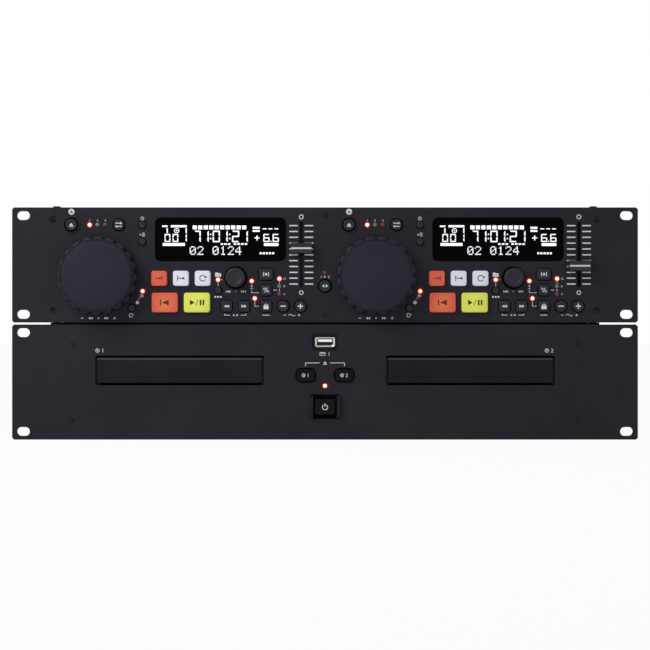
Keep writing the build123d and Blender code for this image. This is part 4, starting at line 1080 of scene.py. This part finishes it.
class PLAYER_OT_shape_wheels(bpy.types.Operator):
    """Makes the jog wheels and the rotary knobs with their fine outlines"""

    bl_idname = "player.shape_wheels"
    bl_label = "Shape wheels and knobs"

    def execute(self, context):
        colors = context.scene.player_colors
        wheel = finish("Wheel plastic", colors.wheel, 0.46, grain=2200, specular=0.12)
        skirt = finish("Wheel skirt", linear(38, 38, 46), 0.45, grain=2200, specular=0.2)
        knob = finish("Knob plastic", colors.key, 0.35, specular=0.2)
        for deck in (1, 2):
            node = f"jog_wheel_{deck}"
            shape = wheel_shape(WHEEL_PHASES[deck], front_level(node), back_level(node))
            name = f"jog_disc_{deck}"
            piece = add_piece(name, shape, own_origin(node), wheel, node, True)
            piece.data.materials.append(skirt)
            for face in piece.data.polygons:
                radius = math.hypot(face.center.x, face.center.z) / MM
                is_groove = GROOVE_INNER < radius < GROOVE_OUTER
                if -face.center.y / MM < SKIRT_TOP + 0.1 or is_groove:
                    face.material_index = 1
            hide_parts(node)
            node = f"track_knob_{deck}"
            shape = knob_shape(front_level(node), back_level(node))
            name = f"knob_cap_{deck}"
            piece = add_piece(name, shape, own_origin(node), knob, node, True)
            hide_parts(node)
        return {"FINISHED"}


class PLAYER_OT_shape_keys(bpy.types.Operator):
    """Makes every key and pad with its soft-edged cap"""

    bl_idname = "player.shape_keys"
    bl_label = "Shape keys and pads"

    def execute(self, context):
        colors = context.scene.player_colors
        key = finish("Key plastic", colors.key, 0.36, specular=0.2)
        dark_key = finish("Dark key plastic", linear(12, 12, 16), 0.36, specular=0.08)
        shade = shaded_recess()
        white = lit_finish("White pad", colors.white, linear(208, 210, 224), 9, 0.25)
        loop_in = lit_finish("Loop-in pad", linear(208, 94, 70), colors.orange, 8, 0.27)
        cue = lit_finish("Cue pad", linear(212, 116, 62), colors.orange, 10.5, 0.27, low_shift=1.0)
        lime = lit_finish("Lime pad", linear(222, 226, 98), colors.lime, 12, 0.25)
        pads = {
            "loop_in": (loop_in, "orange_pad"),
            "cue": (cue, "orange_pad"),
            "loop_out": (white, "white_pad"),
            "reloop": (white, "white_pad"),
            "play": (lime, "lime_pad"),
            "open": (dark_key, "black_key"),
            "power": (dark_key, "black_key"),
        }
        for node in frame["nodes"]:
            kind = key_kind(node)
            if kind is None:
                continue
            material, slot = pads.get(kind, (key, "black_key"))
            shape = key_shape(node, key_styles[kind])
            name = node.replace("button", "cap")
            piece = add_piece(name, shape, own_origin(node), material, node, True)
            # The flange and stem behind the cap wear near-black painted shade, so the gap round the key
            # looks dark.
            piece.data.materials.append(shade)
            for face in piece.data.polygons:
                face.material_index = 1 if -face.center.y / MM < PAINTED_SHADE_BELOW else 0
            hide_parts(node)
        return {"FINISHED"}


class PLAYER_OT_light_lamps(bpy.types.Operator):
    """Puts a lens on every indicator lamp, with a red glow round the lit ones"""

    bl_idname = "player.light_lamps"
    bl_label = "Light the lamps"

    def execute(self, context):
        lit = lit_finish("Lit lamp", linear(255, 253, 226), linear(255, 150, 84), 2.1, 1.0, 0.3)
        green = finish("Green lamp", linear(96, 122, 100), 0.3, specular=0.5)
        red = finish("Red lamp", linear(112, 28, 34), 0.3, specular=0.5)
        red_light = linear(220, 36, 62)
        glow = lit_finish("Lamp glow", red_light, linear(120, 14, 34), GLOW_RADIUS, 1.0, veil=True)
        finishes = {"lit": lit, "green": green, "red": red}
        for deck in (1, 2):
            for index, (x, z, state) in enumerate(deck_lamps, 1):
                origin = (deck_x[deck] + x * MM, panel_front, control_mid + z * MM)
                around = glow if state == "lit" else None
                self.lamp(f"lamp_{deck}_{index}", origin, "control_unit", finishes[state], around)
        origin = (0, panel_front, control_mid + RELAY_LAMP_Z * MM)
        self.lamp("relay_lamp", origin, "control_unit", red)
        origin = (0, panel_front, player_mid + POWER_LAMP_Z * MM)
        self.lamp("power_lamp", origin, "player_unit", lit, glow)
        return {"FINISHED"}

    def lamp(self, name, origin, body, material, glow=None):
        """A domed lens, with a thin glowing round on the panel where a glow is given."""

        def circle(radius):
            return arc(0, 0, radius, 0, 360, LENS_SIDES)[:-1]

        dome = [(circle(LENS_RADIUS), LENS_BACK)]
        for step in range(LENS_STEPS):
            turn = math.pi / 2 * step / LENS_STEPS
            dome.append((circle(LENS_RADIUS * math.cos(turn)), LENS_EDGE + LENS_DOME * math.sin(turn)))
        add_piece(name, stacked(dome), origin, material, body, smooth=True)
        if glow:
            veil = plate([disc(0, 0, GLOW_RADIUS, 40)], *GLOW_LEVELS)
            add_piece(name + "_glow", veil, origin, glow, body)


class PLAYER_OT_light_displays(bpy.types.Operator):
    """Shows digits and bars in the display windows"""

    bl_idname = "player.light_displays"
    bl_label = "Light the displays"

    def execute(self, context):
        level = front_level("display_windows")
        glow = linear(226, 228, 236)
        segments = finish("Display segments", glow, 0.6, spread=0.03, glow=glow, glow_strength=0.85)
        for deck in (1, 2):
            ink(f"display_time_{deck}", self.time_row(), deck_origin(deck), level, segments)
            ink(f"display_track_{deck}", self.track_row(), deck_origin(deck), level, segments)
            ink(f"display_dots_{deck}", self.dot_row(), deck_origin(deck), level, segments)
            ink(f"display_pitch_{deck}", self.pitch_row(), deck_origin(deck), level, segments)
        return {"FINISHED"}

    def time_row(self):
        """The big minutes, seconds and frames, under a row of ten blocks."""
        shapes = [rectangle(4.9 + 1.75 + 4.225 * step, 28.9, 3.2, 3.0) for step in range(10)]
        for digit, right, width in (
            ("7", 11.2, 4.9), ("1", 17.4, 4.9), ("0", 26.0, 5.6),
            ("1", 32.0, 4.9), ("2", 40.9, 5.6), ("1", 47.5, 4.9),
        ):
            shapes += bar_digit(digit, right, 17.5, 26.45, width, 1.0)
        for x in (18.9, 33.6):
            shapes += [rectangle(x, level, 0.9, 1.0) for level in (20.3, 23.6)]
        shapes += [rectangle(x, 16.1, 2.0, 1.2) for x in (27.5, 30.3, 33.1, 37.6, 40.4, 43.2, 46.0)]
        return shapes

    def track_row(self):
        """The track number, with a small ring and bars round it."""
        shapes = []
        for digit, right in (("0", -12.2), ("0", -6.1), ("1", 0.45)):
            shapes += bar_digit(digit, right, 17.7, 23.9, 4.4, 0.85)
        shapes += [rectangle(-9.5, 15.8, 17.0, 2.2), rectangle(-5.7, 29.8, 12.3, 1.6)]
        shapes.append(rectangle(-16.4, 29.8, 4.2, 1.2))
        shapes += [rectangle(x, 26.4, 0.9, 3.8) for x in (-14.6, 0.0)]
        return shapes + [ring(-7.3, 26.4, 2.0, 0.55), disc(-7.3, 26.4, 0.6, 16)]

    def dot_row(self):
        """A row of dot-matrix digits."""
        shapes = []
        for cell, digit in enumerate("02 0124"):
            if digit != " ":
                shapes += dot_digit(digit, 2.7 + 5.86 * cell, 7.7, 0.957, 0.8)
        return shapes

    def pitch_row(self):
        """The pitch figure with its sign, dashes and bars."""
        shapes = moved(plus_sign(), 54.6, 20.8, 3.8)
        for digit, right in (("6", 64.3), ("6", 71.4)):
            shapes += bar_digit(digit, right, 17.7, 23.9, 4.8, 0.85)
        shapes.append(rectangle(65.4, 18.1, 0.8, 0.8))
        shapes += [rectangle(x, 27.8, 3.0, 0.8) for x in (60.5, 65.0, 69.5)]
        shapes += [rectangle(54.0, 28.6, 5.4, 1.6), rectangle(54.0, 26.2, 5.4, 1.4)]
        shapes.append(polygon(soft_outline(11.6, 2.2, 1.0, 65.6, 15.7)))
        return shapes + [rectangle(57.4 + 2.4 * step, 9.0, 1.6, 1.5) for step in range(5)]


class PLAYER_OT_print_control_panel(bpy.types.Operator):
    """Prints the scales, numbers, signs and lines on the control unit's panel"""

    bl_idname = "player.print_control_panel"
    bl_label = "Print the control panel"

    def execute(self, context):
        white = white_ink()
        for deck in (1, 2):
            origin = deck_origin(deck)
            ink(f"fader_scale_{deck}", self.fader_scale(deck), origin, 0, white)
            ink(f"top_labels_{deck}", self.top_labels(deck), origin, 0, white)
            ink(f"wheel_labels_{deck}", self.wheel_labels(deck), origin, 0, white)
            ink(f"key_labels_{deck}", self.key_labels(deck), origin, 0, white)
            ink(f"lamp_lines_{deck}", self.lamp_lines(deck), origin, 0, white)
            x, z = spot(f"eject_button_{deck}", deck)
            sign = moved(eject_sign(), x, z + EJECT_LABEL_RISE, 2.2)
            ink(f"eject_label_{deck}", sign, origin, INK_THICKNESS, dark_ink())
        relay = [number("1", -2.9, -9.2, 1.7), triangle(0, -9.2, 1.5, 1.7), number("2", 2.9, -9.2, 1.7)]
        ink("relay_label", relay, (0, panel_front, control_mid), 0, white)
        return {"FINISHED"}

    def fader_scale(self, deck):
        """Eleven ticks on each side of the slot, and a round sign at each end."""
        x = spot(f"pitch_fader_{deck}", deck)[0]
        shapes = []
        for tick in range(-5, 6):
            z = FADER_MIDDLE_Z + FADER_TICK_PITCH * tick
            shapes += [rectangle(x + side * FADER_TICK_X, z, 6.6, 0.95) for side in (-1, 1)]
        shapes += [ring(x, 37.1, 1.85, 0.65), ring(x, -21.4, 1.7, 0.6)]
        return shapes

    def top_labels(self, deck):
        """The eject key's white round, the first lamps' numbers and signs over two small keys."""
        eject_x, top = spot(f"eject_button_{deck}", deck)
        time_x = spot(f"time_button_{deck}", deck)[0]
        mode_z = spot(f"play_mode_button_{deck}", deck)[1]
        shapes = [disc(eject_x, top + EJECT_LABEL_RISE, 2.3)]
        for index, (x, z, _) in enumerate(deck_lamps[:3]):
            shapes.append(number(str(index + 1), x, z + 3.4, 1.6))
        shapes += moved(clock_sign(), time_x, top + 4.9, 2.5)
        return shapes + moved(list_sign(), time_x, mode_z + 5.4, 2.7)

    def wheel_labels(self, deck):
        """Signs under the jog wheel, and round signs beside the lamps at its left."""
        x = spot(f"jog_wheel_{deck}", deck)[0]
        z = -41.0
        shapes = moved(minus_sign(), x - 12.4, z, 2.0) + moved(plus_sign(), x + 12.4, z, 2.0)
        shapes += moved(arrow_pair(180), x - 6.2, z, 2.0) + moved(arrow_pair(0), x + 6.2, z, 2.0)
        mode_x, mode_z = spot(f"jog_mode_button_{deck}", deck)
        shapes += [disc(x, z, 0.6), ring(-34.2, -23.7, 1.25, 0.4), disc(-34.2, -23.7, 0.4, 16)]
        shapes.append(ring(-37.6, -29.0, 1.3, 0.85))
        return shapes + moved(turn_sign(), mode_x - 0.6, mode_z - 5.7, 3.2)

    def key_labels(self, deck):
        """Signs under and over the small keys and the knob."""
        folder_x, folder_z = spot(f"folder_button_{deck}", deck)
        knob_x, knob_z = spot(f"track_knob_{deck}", deck)
        lock_x, bottom = spot(f"key_lock_button_{deck}", deck)
        back_x = spot(f"search_back_button_{deck}", deck)[0]
        on_x = spot(f"search_forward_button_{deck}", deck)[0]
        minus_x = spot(f"bend_minus_button_{deck}", deck)[0]
        plus_x = spot(f"bend_plus_button_{deck}", deck)[0]
        label = bottom - 6.9
        shapes = moved(folder_sign(), folder_x, folder_z + 12.2, 3.3)
        shapes += [rectangle(folder_x + 2.1 * step, folder_z - 4.9, 1.3, 1.2) for step in (-1, 0, 1)]
        shapes += moved(skip_signs(8.4), knob_x, knob_z - 10.6, 1.8)
        middle_x = (back_x + on_x) / 2
        for side, key_x in ((-1, back_x), (1, on_x)):
            under_key = key_x + side * 1.6
            hook = [(under_key, label + 1.2), (under_key, label), (middle_x + side * 4.2, label)]
            shapes.append(stroke(hook, 0.4))
            shapes.append(triangle(middle_x + side * 1.5, label, 1.5, 1.6, 90 - 90 * side))
        shapes.append(stroke([(lock_x - 2.8, label), (lock_x + 2.8, label)], 0.5))
        shapes += moved(minus_sign(), minus_x + 1.2, label, 1.9)
        shapes += moved(plus_sign(), plus_x - 1.2, label, 1.9)
        wave = [
            (minus_x + 4.0, label), (minus_x + 5.2, label + 0.7),
            (plus_x - 5.2, label - 0.7), (plus_x - 4.0, label),
        ]
        return shapes + [stroke(wave, 0.4)]

    def lamp_lines(self, deck):
        """Lines from the lamps to the keys that they belong to, and the range numbers."""
        places = [lamp[:2] for lamp in deck_lamps]
        (folder_x, folder_z), (pitch_x, pitch_z), (lock_x, lock_z) = places[5:8]
        ranges = places[8:]
        (range_x, top), (_, centre), (_, bottom) = ranges
        key_x, key_z = spot(f"pitch_range_button_{deck}", deck)
        lock_key_x, lock_key_z = spot(f"key_lock_button_{deck}", deck)
        edge = 5.4
        lines = [
            [(folder_x, folder_z - 2.2), (folder_x, folder_z - 5.0)],
            [(folder_x + 2.2, folder_z), (folder_x + 3.2, folder_z)],
            [(pitch_x, pitch_z - 6.7), (pitch_x, key_z - 2.0), (key_x - edge, key_z - 2.0)],
            [(lock_x, lock_z - 2.2), (lock_x, lock_key_z), (lock_key_x - edge, lock_key_z)],
            [(key_x + edge, key_z), (range_x - 2.1, key_z)],
            [(range_x, top - 2.1), (range_x, centre + 2.0)],
            [(range_x, centre - 2.0), (range_x, bottom + 2.0)],
        ]
        shapes = [stroke(line, 0.4) for line in lines]
        shapes += moved(plus_sign(), pitch_x, pitch_z - 3.9, 2.0)
        shapes += moved(minus_sign(), pitch_x, pitch_z - 5.7, 2.0)
        for text, (x, z) in zip(("16", "8", "4"), ranges):
            shapes.append(number(text, x + (4.1 if len(text) > 1 else 3.6), z, 1.6))
        return shapes


class PLAYER_OT_print_player_panel(bpy.types.Operator):
    """Prints the disc numbers, the port's sign and the bracket on the player unit's panel"""

    bl_idname = "player.print_player_panel"
    bl_label = "Print the player panel"

    def execute(self, context):
        white = white_ink()
        origin = (0, panel_front, player_mid)
        for deck, x in ((1, -173.2), (2, 173.2)):
            shapes = [ring(x - 2.2, 24.3, 1.55, 0.45), disc(x - 2.2, 24.3, 0.5, 16)]
            shapes.append(number(str(deck), x + 1.9, 24.3, 2.9))
            ink(f"disc_label_{deck}", shapes, origin, 0, white, "player_unit")
        port = [soft_frame(-1.9, 21.7, 4.6, 2.6, 0.5, 0.4), rectangle(-1.9, 22.1, 2.9, 0.6)]
        port.append(number("1", 3.1, 21.7, 2.8))
        ink("port_label", port, origin, 0, white, "player_unit")
        bracket = [
            stroke([(side * 15.0, 12.2), (side * 15.0, 14.8), (side * 4.0, 14.8)], 0.5) for side in (-1, 1)
        ]
        ink("open_bracket", bracket + moved(eject_sign(), 0, 14.8, 2.6), origin, 0, white, "player_unit")
        return {"FINISHED"}


class PLAYER_OT_mark_keys(bpy.types.Operator):
    """Prints the signs on the keys and pads. Each sign moves with its key"""

    bl_idname = "player.mark_keys"
    bl_label = "Mark the keys"

    def execute(self, context):
        # White print on the keys, with a faint painted glow so that it reads bright.
        print_color = linear(222, 224, 232)
        white = finish("Key ink with painted glow", print_color, 0.5, glow=print_color, glow_strength=0.12)
        dark = dark_ink()
        brown = finish("Pad ink", linear(96, 26, 28), 0.5)
        step_in = [rectangle(2.4, 0, 0.7, 4.0), rectangle(-1.2, 0, 3.2, 0.7), triangle(1.2, 0, 1.7, 2.4)]
        step_out = [rectangle(-2.4, 0, 0.7, 4.0), rectangle(0.0, 0, 3.4, 0.7), triangle(2.4, 0, 1.7, 2.4)]
        cue = [rectangle(-3.2, 0, 1.0, 4.6), triangle(0.6, 0, 5.2, 4.6, 180)]
        play = [triangle(-3.5, 0, 3.6, 4.2), stroke([(-0.6, -2.2), (0.9, 2.2)], 0.5)]
        play += [rectangle(x, 0, 1.3, 4.2) for x in (2.9, 5.1)]
        signs = {
            "eject": (moved(eject_sign(), 0, 0, 2.9), white),
            "source": (moved(swap_sign(), 0, 0, 4.4), white),
            "bend_minus": (moved(minus_sign(), 0, 0, 4.0), white),
            "bend_plus": (moved(plus_sign(), 0, 0, 4.0), white),
            "relay": (moved(relay_sign(), 0, 0, 3.4), white),
            "tap": (moved(tap_sign(), 0, 0, 4.6), white),
            "pitch_range": (moved(percent_sign(), 0, 0, 3.6), white),
            "key_lock": (moved(padlock_sign(), 0, 0, 4.2), white),
            "search_back": (moved(arrow_pair(180), 0, 0, 2.3), white),
            "search_forward": (moved(arrow_pair(0), 0, 0, 2.3), white),
            "loop_in": (step_in, brown),
            "loop_out": (step_out, dark),
            "reloop": (moved(turn_sign(), 0, 0, 5.0), dark),
            "cue": (cue, brown),
            "play": (play, dark),
            "power": (moved(power_sign(), 0, 0, 5.0), white),
        }
        for node in frame["nodes"]:
            kind = key_kind(node)
            if kind == "open":
                deck = node[-1]
                shapes = [ring(-1.7, 0, 1.4, 0.45), disc(-1.7, 0, 0.4, 16), number(deck, 1.9, 0, 2.7)]
                ink(f"open_sign_{deck}", shapes, own_origin(node), front_level(node), white, node)
            elif kind in signs:
                shapes, material = signs[kind]
                level = front_level(node) - key_styles[kind].dish
                ink(node.replace("button", "sign"), shapes, own_origin(node), level, material, node)
        return {"FINISHED"}


class PLAYER_OT_cut_crosses(bpy.types.Operator):
    """Paints near-black crosses on the panel screws: painted shade standing in for their cross recesses"""

    bl_idname = "player.cut_crosses"
    bl_label = "Paint shade in the screw crosses"

    def execute(self, context):
        # Flat near-black crosses stand in for the recesses: painted shade.
        dark = finish("Cross recess shade", linear(4, 4, 4), 0.7, specular=0.02)
        low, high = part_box("control_chassis")
        edge_x = high[0] / MM - PANEL_SCREW_INSET
        edge_z = (high[2] - low[2]) / MM / 2 - PANEL_SCREW_FROM_EDGE
        crosses = []
        for x in (-edge_x, edge_x):
            for z in (-edge_z, edge_z):
                crosses.append(rectangle(x, z, 2.6, 0.6))
                crosses += [rectangle(x, z + step, 0.6, 1.0) for step in (0.8, -0.8)]
        ink("panel_screw_crosses", crosses, (0, panel_front, control_mid), 0, dark)
        return {"FINISHED"}


class PLAYER_OT_build_stage(bpy.types.Operator):
    """Builds the pale floor, the soft lights and the camera"""

    bl_idname = "player.build_stage"
    bl_label = "Build the studio"

    def execute(self, context):
        sizes = context.scene.player_studio
        scene = context.scene
        scene.view_settings.view_transform = "Standard"

        half = sizes.floor_size / 2
        corners = [(-half, -half, 0), (half, -half, 0), (half, half, 0), (-half, half, 0)]
        mesh = bpy.data.meshes.new("floor")
        mesh.from_pydata(corners, [], [(0, 1, 2, 3)])
        floor = bpy.data.objects.new("floor", mesh)
        scene.collection.objects.link(floor)
        mesh.materials.append(self.floor_material())

        for name, place, size, power in (
            ("key_light", (-0.65, -0.66, 0.7), 0.5, 5.7),
            ("fill_light", (1.1, -1.3, 0.7), 1.2, 0.9),
        ):
            lamp = bpy.data.lights.new(name, "AREA")
            lamp.size = size
            lamp.energy = power
            obj = bpy.data.objects.new(name, lamp)
            obj.location = place
            aim = Vector((0, panel_front, control_mid)) - obj.location
            obj.rotation_euler = aim.to_track_quat("-Z", "Y").to_euler()
            scene.collection.objects.link(obj)

        self.light_world(scene)

        camera = bpy.data.cameras.new("camera")
        camera.lens = sizes.lens
        camera.sensor_width = SENSOR_WIDTH
        holder = bpy.data.objects.new("camera", camera)
        holder.location = (0, panel_front - sizes.camera_distance, sizes.camera_height)
        holder.rotation_euler = (math.pi / 2, 0, 0)
        scene.collection.objects.link(holder)
        scene.camera = holder
        return {"FINISHED"}

    def seen_directly(self, tree):
        """1 for camera, glossy and transmission rays."""
        rays = tree.nodes.new("ShaderNodeLightPath").outputs
        straight = math_node(tree, "MAXIMUM", rays["Is Camera Ray"], rays["Is Transmission Ray"])
        return math_node(tree, "MAXIMUM", straight, rays["Is Glossy Ray"])

    def floor_material(self):
        """Pale paint that looks nearly white and still takes the player's shadow."""
        material = bpy.data.materials.new("White floor")
        material.use_nodes = True
        tree = material.node_tree
        shader = tree.nodes["Principled BSDF"]
        shader.inputs["Base Color"].default_value = (0.9, 0.9, 0.9, 1)
        shader.inputs["Roughness"].default_value = 0.9
        shader.inputs["Specular IOR Level"].default_value = 0.0
        white = tree.nodes.new("ShaderNodeEmission")
        mix = tree.nodes.new("ShaderNodeMixShader")
        share = math_node(tree, "MULTIPLY", self.seen_directly(tree), FLOOR_WHITENESS)
        tree.links.new(share, mix.inputs["Fac"])
        tree.links.new(shader.outputs["BSDF"], mix.inputs[1])
        tree.links.new(white.outputs["Emission"], mix.inputs[2])
        tree.links.new(mix.outputs["Shader"], tree.nodes["Material Output"].inputs["Surface"])
        return material

    def light_world(self, scene):
        """Lights the player softly from all round, and looks white."""
        world = bpy.data.worlds.new("studio")
        world.use_nodes = True
        scene.world = world
        tree = world.node_tree
        soft = tree.nodes["Background"]
        soft.inputs["Color"].default_value = (1, 1, 1, 1)
        soft.inputs["Strength"].default_value = SOFT_LIGHT
        white = tree.nodes.new("ShaderNodeBackground")
        white.inputs["Color"].default_value = (1, 1, 1, 1)
        white.inputs["Strength"].default_value = 1.0
        mix = tree.nodes.new("ShaderNodeMixShader")
        tree.links.new(self.seen_directly(tree), mix.inputs["Fac"])
        tree.links.new(soft.outputs["Background"], mix.inputs[1])
        tree.links.new(white.outputs["Background"], mix.inputs[2])
        tree.links.new(mix.outputs["Shader"], tree.nodes["World Output"].inputs["Surface"])


steps = [
    PLAYER_OT_paint_cases,
    PLAYER_OT_dress_trays,
    PLAYER_OT_shape_wheels,
    PLAYER_OT_shape_keys,
    PLAYER_OT_light_lamps,
    PLAYER_OT_light_displays,
    PLAYER_OT_print_control_panel,
    PLAYER_OT_print_player_panel,
    PLAYER_OT_mark_keys,
    PLAYER_OT_cut_crosses,
    PLAYER_OT_build_stage,
]


class PLAYER_PT_looks(bpy.types.Panel):
    """Lists the steps that dress the player"""

    bl_idname = "PLAYER_PT_looks"
    bl_label = "Disc player"
    bl_space_type = "VIEW_3D"
    bl_region_type = "UI"
    bl_category = "Disc player"

    def draw(self, context):
        for group in (context.scene.player_colors, context.scene.player_studio):
            box = self.layout.box()
            for name in group.bl_rna.properties.keys():
                if name not in ("rna_type", "name"):
                    box.prop(group, name)
        for step in steps:
            self.layout.operator(step.bl_idname)


classes = [FinishColors, StudioSizes, *steps, PLAYER_PT_looks]


def register():
    for entry in classes:
        bpy.utils.register_class(entry)
    bpy.types.Scene.player_colors = bpy.props.PointerProperty(type=FinishColors)
    bpy.types.Scene.player_studio = bpy.props.PointerProperty(type=StudioSizes)


def unregister():
    del bpy.types.Scene.player_studio
    del bpy.types.Scene.player_colors
    for entry in reversed(classes):
        bpy.utils.unregister_class(entry)


def main():
    register()
    bpy.ops.player.paint_cases()
    bpy.ops.player.dress_trays()
    bpy.ops.player.shape_wheels()
    bpy.ops.player.shape_keys()
    bpy.ops.player.light_lamps()
    bpy.ops.player.light_displays()
    bpy.ops.player.print_control_panel()
    bpy.ops.player.print_player_panel()
    bpy.ops.player.mark_keys()
    bpy.ops.player.cut_crosses()
    bpy.ops.player.build_stage()


if __name__ == "__main__":
    main()
